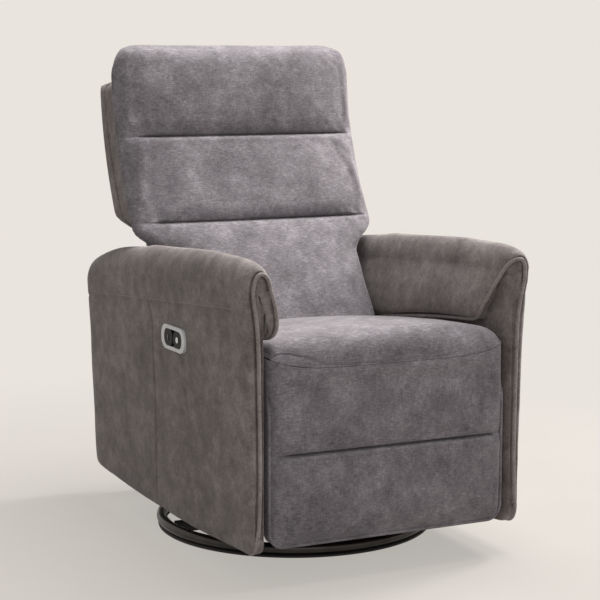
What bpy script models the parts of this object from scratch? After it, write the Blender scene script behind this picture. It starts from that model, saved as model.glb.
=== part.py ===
"""Power swivel rocker recliner as separate pieces on their joint axes.

Metres, +Z up, the front of the chair at -Y, left and right as the sitter has them.
"""
import math

import bmesh
import bpy
from mathutils import Vector

for old in list(bpy.data.objects):
    bpy.data.objects.remove(old, do_unlink=True)

# Clearances shared by every fit
FIT = 0.0003
PIN_CLEARANCE = 0.0004
LAYER_GAP = 0.0020
SLOT_CLEARANCE = 0.0019

# Base ring, cross and swivel
RING_RADIUS = 0.285
RING_TUBE = 0.011
RING_STEPS = 48
GLIDE_HEIGHT = 0.008
GLIDE_WIDTH = 0.016
CROSS_WIDTH = 0.030
CROSS_HEIGHT = 0.018
CROSS_WALL = 0.0025
LOWER_PLATE_RADIUS = 0.120
UPPER_PLATE_RADIUS = 0.135
SWIVEL_PLATE = 0.004
RACE_RADIUS = 0.090
RACE_WIDTH = 0.014
RACE_HEIGHT = 0.008
BOLT_RADIUS = 0.008
BOLT_HEAD_RADIUS = 0.014
BOLT_HEAD = 0.009

# Rocker rails, cams and springs
ROCKER_X = 0.110
ROCKER_RAIL_WIDTH = 0.036
ROCKER_RAIL_WALL = 0.003
CAM_WIDTH = 0.030
TRACK_HEIGHT = 0.060
TRACK_REACH = 0.125
SHELF_HEIGHT = 0.016
SHELF_REACH = 0.178
CAM_RADIUS = 0.320
CAM_REACH = 0.120
CAM_HEIGHT = 0.070
CAM_TOP_REACH = 0.130
EAR_REACH = 0.174
EAR_THICKNESS = 0.012
ROCK_GAP = 0.00095
ROCK_AXIS_RISE = 0.090
SPRING_Y = 0.153
SPRING_RADIUS = 0.016
SPRING_WIRE = 0.0024
SPRING_CURLS = 4
SPRING_CURL_POINTS = 9

# Chassis rails and mechanism plates
CHASSIS_RAIL_DEPTH = 0.040
CHASSIS_RAIL_HEIGHT = 0.030
CHASSIS_RAIL_WALL = 0.0025
STEEL_EDGE = 0.002
FRONT_RAIL_Y = -0.085
REAR_RAIL_Y = 0.110
PLATE_X = 0.230
PLATE_THICKNESS = 0.004
PLATE_TOP_RISE = 0.149
PLATE_FRONT_Y = -0.316
PLATE_REAR_Y = 0.165
PLATE_FOOT_FRONT_Y = -0.140
PLATE_FRONT_DEPTH = 0.060
PLATE_EAR = 0.022
PLATE_EAR_POINTS = 9
PLATE_EAR_ANGLES = (-40.0, 136.0)
PLATE_SLOTS_Y = ((-0.125, -0.030), (0.030, 0.125))
PLATE_SLOT_RISE = 0.092
PLATE_SLOT_RADIUS = 0.018

# Arms
ARM_RAIL_THICKNESS = 0.025
ARM_RAIL_HEIGHT = 0.126
ARM_RAIL_FRONT_Y = -0.340
ARM_RAIL_REAR_Y = 0.400
ARM_DROP = 0.111
ARM_BELLY = 0.014
ARM_CORNER = 0.030
ARM_FRONT_Y = -0.428
ARM_REAR_Y = 0.446
ARM_FOOT_THICKNESS = 0.036
ARM_TOP_FLARE = 0.020
ARM_BULGE = 0.007
ARM_END_ROUND = 0.006
ARM_CROWN_RISE = 0.448
ARM_FRONT_CROWN_Y = -0.190
ARM_CROWN_SAG = 0.200
ARM_SEAM_RISE = 0.353
ARM_SEAM_SLOPE = 0.078
ARM_ROLL_CENTRE = 0.024
ARM_ROLL_REACH = 0.028
ARM_ROLL_POINTS = 7
ARM_ROLL_FORWARD = 0.013
ARM_SLIT_GAP = 0.002
ARM_REAR_ROUND = 0.030
ARM_FLAP_REACH = 0.030
ARM_FLAP_RISE = 0.293
ARM_FLAP_THICKNESS = 0.017
ARM_FLAP_SLANT = 0.066
REAR_PANEL_THICKNESS = 0.015
REAR_PANEL_HEIGHT = 0.370

# Seat
SEAT_RAIL_HEIGHT = 0.020
SEAT_RAIL_WIDTH = 0.040
WOOD_EDGE = 0.001
SEAT_FRAME_FRONT_Y = -0.330
SEAT_FRAME_REAR_Y = 0.170
SEAT_FRAME_HALF = 0.2345
SEAT_SPRING_COUNT = 3
SEAT_SPRING_PITCH = 0.110
SEAT_SPRING_WAVES = 7
SEAT_SPRING_WIDTH = 0.034
SEAT_SPRING_WIRE = 0.002
SEAT_HALF = 0.253
SEAT_EDGE = 0.106
SEAT_CROWN = 0.032
SEAT_REAR_FALL = 0.040
SEAT_FALL_POWER = 1.5
SEAT_FRONT_Y = -0.358
SEAT_NOSE_Y = -0.446
SEAT_NOSE_GAP = 0.0035
SEAT_NOSE_LIP = 0.006
SEAT_NOSE_ROUND = 0.014
SEAT_NOSE_ROLL = 0.040
SEAT_NOSE_RECESS = 0.018
SEAT_NOSE_FALL = 0.55
SEAT_PINCH = 0.010
SEAT_BACK_GAP = 0.010

# Backrest
RECLINE_Y = 0.215
RECLINE_RISE = 0.159
BACK_LINE_TOP_Y = 0.326
BACK_LINE_TOP_RISE = 0.824
BACK_LINE_BEND = 0.856
BACK_LINE_STRAIGHT = 0.380
BACK_HALF = 0.285
BACK_ARM_GAP = 0.0081
BACK_SHOULDER = (0.392, 0.450)
BACK_CUSHION_FOOT = 0.226
BACK_CUSHION_TOP = 0.846
BACK_CHANNELS = (0.464, 0.645)
BACK_CHANNEL_THICKNESS = 0.036
BACK_CROWN = 0.072
BACK_EDGE = 0.014
BACK_CORNER = 0.050
BACK_HEAD_BULGE = 0.030
CHANNEL_PINCH = 0.004
SHELL_FOOT = 0.280
SHELL_TOP = 0.760
SHELL_HALF = 0.278
SHELL_ARM_GAP = 0.0051
SHELL_SHOULDER = (0.414, 0.479)
SHELL_WALL = 0.010
SHELL_SIDE_WALL = 0.002
SHELL_DEPTH = 0.104
SHELL_TAPER = 0.064
SHELL_REAR_ROUND = 0.012
SHELL_CORNER = 0.030
SHELL_OVERCUT = 0.020
UPRIGHT_THICKNESS = 0.027
UPRIGHT_DEPTH = 0.048
FRAME_SETBACK = 0.003
UPRIGHT_FOOT = 0.196
UPRIGHT_TOP = 0.735
UPRIGHT_POINTS = 9
BACK_RAIL_HEIGHT = 0.045
BACK_RAIL_DEPTH = 0.022
BACK_RAIL_LOW = 0.310
BACK_RAIL_HIGH = 0.690
HINGE_PLATE = 0.004
HINGE_BOSS = 0.014
HINGE_BRACKET_RISE = 0.040
HINGE_BRACKET_SPREAD = 0.025

# Footrest linkage, side view places as (y, height above the chassis)
PIN_RADIUS = 0.005
LINK_THICKNESS = 0.004
LINK_RADIUS = 0.011
REAR_PIVOT = (-0.220, 0.099)
PIVOT_SPACING = (-0.075, 0.015)
LINK_LENGTH = 0.185
LINK_REST_ANGLE = 116.0
LUG_OFFSET = (-0.005, 0.053)
FOOTREST_PIVOT = (-0.350, 0.096)
TORQUE_TUBE_RADIUS = 0.011
CRANK_RADIUS = 0.045
CRANK_REST_ANGLE = 135.0
CRANK_THICKNESS = 0.004
BRACKET_THICKNESS = 0.003
BRACKET_WIDTH = 0.026
BRACKET_HEIGHT = 0.110
BRACKET_SPREAD = 0.010
BOARD_BACK_Y = -0.375
BOARD_THICKNESS = 0.012
BOARD_HALF = 0.235
BOARD_FOOT = -0.086
BOARD_TOP = 0.224
PAD_HALF = 0.257
PAD_FOOT = -0.101
PAD_TOP = 0.232
PAD_TOP_LIFT = 0.020
PAD_CORNER = 0.030
PAD_CHANNEL = 0.077
PAD_CHANNEL_THICKNESS = 0.036
PAD_CROWN = 0.058
PAD_TOP_THICKNESS = 0.052
PAD_EDGE = 0.024

# Actuator
ACTUATOR_RAIL_HALF = 0.023
ACTUATOR_RAIL_HEIGHT = 0.020
ACTUATOR_RAIL_WALL = 0.003
ACTUATOR_RAIL_FRONT_Y = -0.290
ACTUATOR_RAIL_REAR_Y = 0.135
CARRIAGE_LENGTH = 0.050
CARRIAGE_CHEEK = 0.007
CARRIAGE_CHEEK_DROP = 0.014
CARRIAGE_CHEEK_RISE = 0.031
CARRIAGE_BRIDGE = 0.0045
GEARBOX_HALF = 0.032
GEARBOX_LENGTH = 0.060
GEARBOX_HEIGHT = 0.044
GEARBOX_EDGE = 0.004
MOTOR_RADIUS = 0.026
MOTOR_LENGTH = 0.080
MOTOR_SINK = 0.010
MOTOR_CAP_RADIUS = 0.020
MOTOR_CAP_LENGTH = 0.010

# Switch on the right arm
SWITCH_Y = -0.090
SWITCH_RISE = 0.258
SWITCH_LENGTH = 0.122
SWITCH_HEIGHT = 0.050
SWITCH_CORNER = 0.023
SWITCH_REBATE = 0.0032
BEZEL_BORDER_LENGTH = 0.015
BEZEL_BORDER_HEIGHT = 0.0075
BEZEL_THICKNESS = 0.008
HOUSING_DEPTH = 0.018
BUTTON_GAP = 0.004
BUTTON_THICKNESS = 0.005
BUTTON_TRAVEL = 0.0025
BUTTON_MARK = 0.0008
BUTTON_BAR = (0.002, 0.011)
BUTTON_DOT = 0.0065
REBATE_CUT = 0.040

# Heights stacked from the floor up
RING_Z = GLIDE_HEIGHT + FIT + RING_TUBE
LOWER_PLATE_Z = RING_Z + CROSS_HEIGHT / 2 + FIT
RACE_Z = LOWER_PLATE_Z + SWIVEL_PLATE + FIT
UPPER_PLATE_Z = RACE_Z + RACE_HEIGHT + FIT
ROCKER_RAIL_Z = UPPER_PLATE_Z + SWIVEL_PLATE + FIT
TRACK_Z = ROCKER_RAIL_Z + TRACK_HEIGHT
ROCK_AXIS_Z = TRACK_Z + ROCK_AXIS_RISE
CAM_TOP_Z = TRACK_Z + CAM_HEIGHT
CHASSIS_Z = CAM_TOP_Z + FIT
DECK_Z = CHASSIS_Z + CHASSIS_RAIL_HEIGHT + FIT
SEAT_RAIL_Z = CHASSIS_Z + PLATE_TOP_RISE + FIT
SEAT_Z = SEAT_RAIL_Z + SEAT_RAIL_HEIGHT + FIT
ARM_WALL_X = PLATE_X + PLATE_THICKNESS + FIT + ARM_RAIL_THICKNESS + FIT
BACK_NARROW_HALF = ARM_WALL_X - ARM_FLAP_REACH - BACK_ARM_GAP
SHELL_NARROW_HALF = ARM_WALL_X - ARM_FLAP_REACH - SHELL_ARM_GAP
SEAT_NOSE_UNDER = CHASSIS_Z + PAD_TOP + SEAT_NOSE_GAP - SEAT_Z
LINK_X = (PLATE_X - LAYER_GAP - LINK_THICKNESS, PLATE_X - 2 * (LAYER_GAP + LINK_THICKNESS))
BRACKET_X = PLATE_X - 3 * (LAYER_GAP + LINK_THICKNESS)
SIDES = (("left", 1), ("right", -1))

parts = bpy.data.collections.new("power_swivel_rocker_recliner")
cutters = bpy.data.collections.new("cutters")
bpy.context.scene.collection.children.link(parts)
bpy.context.scene.collection.children.link(cutters)


def material(name, colour, roughness, metallic=0.0):
    """A plain surface for one kind of material."""
    made = bpy.data.materials.new(name)
    made.use_nodes = True
    shader = made.node_tree.nodes["Principled BSDF"]
    shader.inputs["Base Color"].default_value = (*colour, 1.0)
    shader.inputs["Roughness"].default_value = roughness
    shader.inputs["Metallic"].default_value = metallic
    return made


FABRIC = material("grey_chenille", (0.30, 0.28, 0.26), 0.95)
ARM_FABRIC = material("brown_grey_chenille", (0.27, 0.24, 0.21), 0.95)
RING_STEEL = material("grey_painted_steel", (0.32, 0.32, 0.33), 0.45, 0.6)
BLACK_STEEL = material("black_painted_steel", (0.03, 0.03, 0.035), 0.5, 0.7)
ZINC_STEEL = material("zinc_plated_steel", (0.55, 0.55, 0.56), 0.35, 1.0)
SPRING_STEEL = material("spring_steel", (0.25, 0.25, 0.27), 0.4, 1.0)
WOOD = material("birch_plywood", (0.62, 0.47, 0.30), 0.7)
BLACK_PLASTIC = material("black_plastic", (0.02, 0.02, 0.02), 0.5)
SILVER_PLASTIC = material("silver_plastic", (0.70, 0.70, 0.70), 0.35, 0.3)


def pivot(name, place, parent=None):
    """An empty on a joint axis that carries the pieces turning about it."""
    empty = bpy.data.objects.new(name, None)
    empty.empty_display_size = 0.03
    parts.objects.link(empty)
    empty.parent = parent
    empty.location = Vector(place) - world(parent)
    return empty


def world(obj):
    """Where an unturned empty stands in the world."""
    place = Vector((0, 0, 0))
    while obj is not None:
        place += obj.location
        obj = obj.parent
    return place


def add(name, data, finish, parent, place=(0, 0, 0), turn=(0, 0, 0)):
    """A named piece with its finish, parented to its joint empty and placed in the world."""
    data.name = name
    data.materials.append(finish)
    obj = bpy.data.objects.new(name, data)
    parts.objects.link(obj)
    obj.parent = parent
    obj.location = Vector(place) - world(parent)
    obj.rotation_euler = turn
    return obj


def tool(data, place, turn=(0, 0, 0)):
    """A hidden solid that a Boolean modifier uses."""
    obj = bpy.data.objects.new("tool", data)
    cutters.objects.link(obj)
    obj.location = place
    obj.rotation_euler = turn
    obj.hide_render = True
    obj.display_type = "WIRE"
    return obj


def combine(obj, other, operation):
    """Fuse a hidden solid to a piece, or cut it out."""
    modifier = obj.modifiers.new(operation.lower(), "BOOLEAN")
    modifier.operation = operation
    modifier.solver = "EXACT"
    modifier.object = other


def block(size, edge=0.0):
    """A box with its edges rounded by one bevel."""
    mesh = bpy.data.meshes.new("block")
    shape = bmesh.new()
    bmesh.ops.create_cube(shape, size=1.0)
    bmesh.ops.scale(shape, vec=size, verts=shape.verts)
    if edge > 0:
        bmesh.ops.bevel(shape, geom=shape.edges, offset=edge, segments=1, affect="EDGES")
    shape.to_mesh(mesh)
    shape.free()
    return mesh


def rod(radius, length, sides=14):
    """A cylinder along Z, centred."""
    mesh = bpy.data.meshes.new("rod")
    shape = bmesh.new()
    bmesh.ops.create_cone(shape, cap_ends=True, segments=sides, radius1=radius, radius2=radius, depth=length)
    shape.to_mesh(mesh)
    shape.free()
    return mesh


def turned(profile, steps):
    """A profile of (radius, height) points for a Screw modifier, outer side top to bottom."""
    mesh = bpy.data.meshes.new("turned")
    shape = bmesh.new()
    points = [shape.verts.new((radius, 0, height)) for radius, height in profile]
    for first, second in zip(points, points[1:] + points[:1]):
        shape.edges.new((first, second))
    shape.to_mesh(mesh)
    shape.free()
    return mesh, steps


def add_turned(name, profile, finish, parent, place, steps=36):
    """A ring or plate turned about its own Z axis."""
    mesh, steps = turned(profile, steps)
    obj = add(name, mesh, finish, parent, place)
    screw = obj.modifiers.new("turn", "SCREW")
    screw.steps = steps
    screw.render_steps = steps
    screw.use_merge_vertices = True
    screw.merge_threshold = 0.00001
    return obj


def circle(centre, radius, steps=14):
    """Points round a hole."""
    return [
        (
            centre[0] + radius * math.cos(2 * math.pi * k / steps),
            centre[1] + radius * math.sin(2 * math.pi * k / steps),
        )
        for k in range(steps)
    ]


def hull(pins, radius, steps=6):
    """Outline of equal discs round the pins, joined by their outer tangents."""
    middle = [sum(pin[k] for pin in pins) / len(pins) for k in (0, 1)]
    ring = sorted(pins, key=lambda pin: math.atan2(pin[1] - middle[1], pin[0] - middle[0]))
    outline = []
    for before, here, after in zip(ring[-1:] + ring[:-1], ring, ring[1:] + ring[:1]):
        start = math.atan2(here[1] - before[1], here[0] - before[0]) - math.pi / 2
        end = math.atan2(after[1] - here[1], after[0] - here[0]) - math.pi / 2
        turn = (end - start) % (2 * math.pi)
        for k in range(steps + 1):
            angle = start + turn * k / steps
            outline.append((here[0] + radius * math.cos(angle), here[1] + radius * math.sin(angle)))
    return outline


def flat(outlines, thickness):
    """A flat outline with holes, as thick as the plate it makes."""
    curve = bpy.data.curves.new("flat", "CURVE")
    curve.dimensions = "2D"
    curve.fill_mode = "BOTH"
    curve.extrude = thickness / 2
    for outline in outlines:
        spline = curve.splines.new("POLY")
        spline.points.add(len(outline) - 1)
        spline.use_cyclic_u = True
        for point, (along, up) in zip(spline.points, outline):
            point.co = (along, up, 0, 1)
    return curve


UPRIGHT_TURN = (math.pi / 2, 0, math.pi / 2)
CROSSWISE_TURN = (0, math.pi / 2, 0)


def solid(curve):
    """The closed mesh of a flat outline, ready for Boolean modifiers."""
    carrier = bpy.data.objects.new("carrier", curve)
    bpy.context.scene.collection.objects.link(carrier)
    mesh = bpy.data.meshes.new_from_object(carrier.evaluated_get(bpy.context.evaluated_depsgraph_get()))
    bpy.data.objects.remove(carrier, do_unlink=True)
    shape = bmesh.new()
    shape.from_mesh(mesh)
    bmesh.ops.remove_doubles(shape, verts=shape.verts, dist=0.00001)
    shape.to_mesh(mesh)
    shape.free()
    mesh.materials.clear()
    return mesh


def side_plate(name, outlines, near_x, thickness, finish, parent, axis, side):
    """A plate in the side view, its outline given about its joint axis, its inner face at near_x."""
    mesh = solid(flat(outlines, thickness))
    place = (side * (near_x + thickness / 2), axis[0], axis[1])
    return add(name, mesh, finish, parent, place, UPRIGHT_TURN)


def stub(obj, radius, inner_x, outer_x, at, side):
    """A pin fused to a plate, running crosswise between two distances from the middle."""
    pin = tool(rod(radius, outer_x - inner_x), (side * (inner_x + outer_x) / 2, *at), CROSSWISE_TURN)
    combine(obj, pin, "UNION")


def tube(points, radius, resolution=1):
    """A wire or tube along a line of points."""
    curve = bpy.data.curves.new("tube", "CURVE")
    curve.dimensions = "3D"
    curve.bevel_depth = radius
    curve.bevel_resolution = resolution
    curve.use_fill_caps = True
    spline = curve.splines.new("POLY")
    spline.points.add(len(points) - 1)
    for point, place in zip(spline.points, points):
        point.co = (*place, 1)
    return curve


def form(counts, shape_of):
    """A block of counts[0] x counts[1] x counts[2] cells, each corner moved by a formula of (-1..1) x 3."""
    mesh = bpy.data.meshes.new("form")
    shape = bmesh.new()
    bmesh.ops.create_cube(shape, size=2.0)
    for axis, count in enumerate(counts):
        along = [e for e in shape.edges if abs(e.verts[0].co[axis] - e.verts[1].co[axis]) > 0.5]
        if count > 1:
            bmesh.ops.subdivide_edges(shape, edges=along, cuts=count - 1, use_grid_fill=True)
    for corner in shape.verts:
        corner.co = shape_of(*corner.co)
    bmesh.ops.recalc_face_normals(shape, faces=shape.faces)
    shape.to_mesh(mesh)
    shape.free()
    return mesh


def blend(low, high, share):
    """A value between two others."""
    return low + (high - low) * share


def ease(share):
    """A smooth step from 0 to 1."""
    share = min(max(share, 0.0), 1.0)
    return share * share * (3 - 2 * share)


def swell(share, power=0.5):
    """A rounded hump over 0 to 1, zero at both ends."""
    return max(0.0, math.sin(math.pi * min(max(share, 0.0), 1.0))) ** power


def rounding(radius, left):
    """How far a corner of this radius draws in, with this much length left before its end."""
    share = min(max(1 - left / radius, 0.0), 1.0)
    return radius * (1 - math.sqrt(1 - share**2))


def plump(across, power):
    """Full in the middle of a cushion and falling to nothing at its sides."""
    return (1 - abs(across) ** power) ** 0.6


def rows(*stops):
    """Heights from stop to stop, each stop given with the count of rows that lead up to it."""
    heights = [stops[0]]
    for height, count in stops[1:]:
        heights += [blend(heights[-1], height, (k + 1) / count) for k in range(count)]
    return heights


def row_of(heights, high):
    """The height of the row that lies at -1..1 in a form."""
    return heights[round((high + 1) / 2 * (len(heights) - 1))]


def least_gap(points, wire, skip):
    """The least clear space between turns of one wire that lie skip or more points apart."""
    gaps = [
        (Vector(points[a]) - Vector(points[b])).length - 2 * wire
        for a in range(len(points))
        for b in range(a + skip, len(points))
    ]
    return min(gaps)


# Joint axes
swivel = pivot("swivel_axis", (0, 0, UPPER_PLATE_Z))
rock = pivot("rock_axis", (0, 0, ROCK_AXIS_Z), swivel)
recline = pivot("recline_axis", (0, RECLINE_Y, CHASSIS_Z + RECLINE_RISE), rock)


# Base: glide ring, tube ring, cross, lower swivel plate, ball race and king bolt
half_glide = GLIDE_WIDTH / 2
add_turned(
    "base_glide_ring",
    (
        (RING_RADIUS + half_glide, GLIDE_HEIGHT),
        (RING_RADIUS + half_glide, 0),
        (RING_RADIUS - half_glide, 0),
        (RING_RADIUS - half_glide, GLIDE_HEIGHT),
    ),
    BLACK_PLASTIC,
    None,
    (0, 0, 0),
    RING_STEPS,
)

bpy.ops.mesh.primitive_torus_add(
    major_radius=RING_RADIUS, minor_radius=RING_TUBE, major_segments=RING_STEPS, minor_segments=10
)
ring_primitive = bpy.context.object
ring_mesh = ring_primitive.data
bpy.data.objects.remove(ring_primitive, do_unlink=True)
add("base_ring", ring_mesh, RING_STEEL, None, (0, 0, RING_Z))

ring_inside = RING_RADIUS - RING_TUBE - FIT
cross_length = 2 * math.sqrt(ring_inside**2 - (CROSS_WIDTH / 2) ** 2) * math.cos(math.pi / RING_STEPS)
cross_size = (cross_length, CROSS_WIDTH, CROSS_HEIGHT)
cross = add("base_cross", block(cross_size), BLACK_STEEL, None, (0, 0, RING_Z))
combine(cross, tool(block(cross_size), (0, 0, RING_Z), (0, 0, math.pi / 2)), "UNION")
cross_bore = (cross_length + CROSS_WALL, CROSS_WIDTH - 2 * CROSS_WALL, CROSS_HEIGHT - 2 * CROSS_WALL)
for turn in (0, math.pi / 2):
    combine(cross, tool(block(cross_bore), (0, 0, RING_Z), (0, 0, turn)), "DIFFERENCE")

bore = BOLT_RADIUS + PIN_CLEARANCE
add_turned(
    "swivel_lower_plate",
    ((LOWER_PLATE_RADIUS, SWIVEL_PLATE), (LOWER_PLATE_RADIUS, 0), (bore, 0), (bore, SWIVEL_PLATE)),
    BLACK_STEEL,
    None,
    (0, 0, LOWER_PLATE_Z),
)
race_in = RACE_RADIUS - RACE_WIDTH / 2
race_out = RACE_RADIUS + RACE_WIDTH / 2
add_turned(
    "swivel_ball_race",
    ((race_out, RACE_HEIGHT), (race_out, 0), (race_in, 0), (race_in, RACE_HEIGHT)),
    ZINC_STEEL,
    None,
    (0, 0, RACE_Z),
)
head_z = UPPER_PLATE_Z + SWIVEL_PLATE + FIT - LOWER_PLATE_Z
bolt = add("swivel_bolt", rod(BOLT_RADIUS, head_z + BOLT_HEAD, 20), ZINC_STEEL, None,
           (0, 0, LOWER_PLATE_Z + (head_z + BOLT_HEAD) / 2))
bolt_head = tool(rod(BOLT_HEAD_RADIUS, BOLT_HEAD, 6), (0, 0, LOWER_PLATE_Z + head_z + BOLT_HEAD / 2))
combine(bolt, bolt_head, "UNION")


# Turntable: upper swivel plate, rocker rails and rocker springs
add_turned(
    "swivel_upper_plate",
    ((UPPER_PLATE_RADIUS, SWIVEL_PLATE), (UPPER_PLATE_RADIUS, 0), (bore, 0), (bore, SWIVEL_PLATE)),
    BLACK_STEEL,
    swivel,
    (0, 0, UPPER_PLATE_Z),
)


def mirrored(outline):
    """An outline's front half, closed by its mirror image at the rear."""
    return [(-along, up) for along, up in outline] + [(along, up) for along, up in reversed(outline)]


def rocker_rail_outline(wall):
    """The rocker rail in the side view, or the space inside it when it is given a wall."""
    return mirrored(
        [
            (TRACK_REACH - wall, TRACK_HEIGHT - wall),
            (TRACK_REACH - wall, SHELF_HEIGHT - wall),
            (SHELF_REACH - wall, SHELF_HEIGHT - wall),
            (SHELF_REACH - wall, -wall),
        ]
    )


ear_under = TRACK_Z + ROCK_GAP + CAM_RADIUS - math.sqrt(CAM_RADIUS**2 - CAM_REACH**2) - ROCK_AXIS_Z
cam_top = CAM_TOP_Z - ROCK_AXIS_Z
cam_arc = [CAM_REACH * k / 8 for k in range(9)]
cam_outline = mirrored(
    [(y, ROCK_GAP - ROCK_AXIS_RISE + CAM_RADIUS - math.sqrt(CAM_RADIUS**2 - y**2)) for y in cam_arc[1:]]
    + [
        (EAR_REACH, ear_under),
        (EAR_REACH, ear_under + EAR_THICKNESS),
        (CAM_TOP_REACH + EAR_THICKNESS, ear_under + EAR_THICKNESS),
        (CAM_TOP_REACH, cam_top),
    ]
)
spring_low = ROCKER_RAIL_Z + SHELF_HEIGHT + FIT + SPRING_WIRE
spring_high = ROCK_AXIS_Z + ear_under - FIT - SPRING_WIRE
spring_points = [
    (
        SPRING_RADIUS * math.cos(2 * math.pi * k / SPRING_CURL_POINTS),
        SPRING_RADIUS * math.sin(2 * math.pi * k / SPRING_CURL_POINTS),
        blend(spring_low, spring_high, k / (SPRING_CURL_POINTS * SPRING_CURLS)),
    )
    for k in range(SPRING_CURL_POINTS * SPRING_CURLS + 1)
]
print("rocker spring least gap", round(least_gap(spring_points, SPRING_WIRE, 5) * 1000, 2), "mm")

for hand, side in SIDES:
    rail_place = (side * ROCKER_X, 0, ROCKER_RAIL_Z)
    rail_mesh = solid(flat([rocker_rail_outline(0.0)], ROCKER_RAIL_WIDTH))
    rail = add(f"rocker_rail_{hand}", rail_mesh, BLACK_STEEL, swivel, rail_place, UPRIGHT_TURN)
    inside = solid(flat([rocker_rail_outline(ROCKER_RAIL_WALL)], ROCKER_RAIL_WIDTH - 2 * ROCKER_RAIL_WALL))
    combine(rail, tool(inside, rail_place, UPRIGHT_TURN), "DIFFERENCE")
    add(f"rocker_cam_{hand}", flat([cam_outline], CAM_WIDTH), WOOD, rock,
        (side * ROCKER_X, 0, ROCK_AXIS_Z), UPRIGHT_TURN)
    for end, way in (("front", -1), ("rear", 1)):
        add(f"rocker_spring_{hand}_{end}", tube(spring_points, SPRING_WIRE), SPRING_STEEL, swivel,
            (side * ROCKER_X, way * SPRING_Y, 0))


# Chassis: square tubes between the mechanism plates, resting on the cams
rail_size = (2 * (PLATE_X - FIT), CHASSIS_RAIL_DEPTH, CHASSIS_RAIL_HEIGHT)
rail_bore = (
    rail_size[0] + CHASSIS_RAIL_WALL,
    CHASSIS_RAIL_DEPTH - 2 * CHASSIS_RAIL_WALL,
    CHASSIS_RAIL_HEIGHT - 2 * CHASSIS_RAIL_WALL,
)
rail_z = CHASSIS_Z + CHASSIS_RAIL_HEIGHT / 2
for name, rail_y in (("chassis_front_rail", FRONT_RAIL_Y), ("chassis_rear_rail", REAR_RAIL_Y)):
    rail = add(name, block(rail_size, STEEL_EDGE), BLACK_STEEL, rock, (0, rail_y, rail_z))
    combine(rail, tool(block(rail_bore), (0, rail_y, rail_z)), "DIFFERENCE")

# Footrest linkage places in the side view, worked out as two parallelograms that share the rear link
rest_angle = math.radians(LINK_REST_ANGLE)
rear_pivot = (REAR_PIVOT[0], CHASSIS_Z + REAR_PIVOT[1])
front_pivot = (rear_pivot[0] + PIVOT_SPACING[0], rear_pivot[1] + PIVOT_SPACING[1])
swing = (-LINK_LENGTH * math.cos(rest_angle), -LINK_LENGTH * math.sin(rest_angle))
rear_pin = (rear_pivot[0] + swing[0], rear_pivot[1] + swing[1])
front_pin = (front_pivot[0] + swing[0], front_pivot[1] + swing[1])
lug_pin = (rear_pin[0] + LUG_OFFSET[0], rear_pin[1] + LUG_OFFSET[1])
rest_pin = (FOOTREST_PIVOT[0], CHASSIS_Z + FOOTREST_PIVOT[1])
rest_lug = (rest_pin[0] + LUG_OFFSET[0], rest_pin[1] + LUG_OFFSET[1])
hole = PIN_RADIUS + PIN_CLEARANCE

rear_swing = pivot("rear_link_axis", (0, *rear_pivot), rock)
front_swing = pivot("front_link_axis", (0, *front_pivot), rock)
upper_swing = pivot("upper_link_axis", (0, *rear_pin), rear_swing)
lower_swing = pivot("lower_link_axis", (0, *lug_pin), rear_swing)
footrest = pivot("footrest_axis", (0, *rest_pin), upper_swing)


def about(place, axis):
    """A side view place measured from a joint axis."""
    return (place[0] - axis[0], place[1] - axis[1])


# Mechanism plates with the pins that carry the links and the back
hinge = (RECLINE_Y, CHASSIS_Z + RECLINE_RISE)
plate_outline = [
    (PLATE_FRONT_Y, CHASSIS_Z + PLATE_TOP_RISE),
    (PLATE_FRONT_Y, CHASSIS_Z + PLATE_TOP_RISE - PLATE_FRONT_DEPTH),
    (PLATE_FOOT_FRONT_Y, CHASSIS_Z),
    (PLATE_REAR_Y, CHASSIS_Z),
]
for k in range(PLATE_EAR_POINTS):
    angle = math.radians(blend(*PLATE_EAR_ANGLES, k / (PLATE_EAR_POINTS - 1)))
    plate_outline.append((hinge[0] + PLATE_EAR * math.cos(angle), hinge[1] + PLATE_EAR * math.sin(angle)))
plate_outline.append((SEAT_FRAME_REAR_Y + FIT, CHASSIS_Z + PLATE_TOP_RISE))
slot_z = CHASSIS_Z + PLATE_SLOT_RISE
plate_slots = [hull([(front, slot_z), (rear, slot_z)], PLATE_SLOT_RADIUS) for front, rear in PLATE_SLOTS_Y]
rock_axis = (0, ROCK_AXIS_Z)
link_in = LINK_X[0]
hinge_in = SHELL_NARROW_HALF - SHELL_SIDE_WALL
for hand, side in SIDES:
    plate = side_plate(
        f"mechanism_plate_{hand}",
        [[about(place, rock_axis) for place in outline] for outline in (plate_outline, *plate_slots)],
        PLATE_X, PLATE_THICKNESS, ZINC_STEEL, rock, rock_axis, side,
    )
    stub(plate, PIN_RADIUS, link_in - LAYER_GAP / 2, PLATE_X + PLATE_THICKNESS / 2, front_pivot, side)
    stub(plate, PIN_RADIUS, link_in - LAYER_GAP / 2, PLATE_X + PLATE_THICKNESS / 2, rear_pivot, side)
    stub(plate, PIN_RADIUS, hinge_in, PLATE_X + PLATE_THICKNESS / 2, hinge, side)

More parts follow.
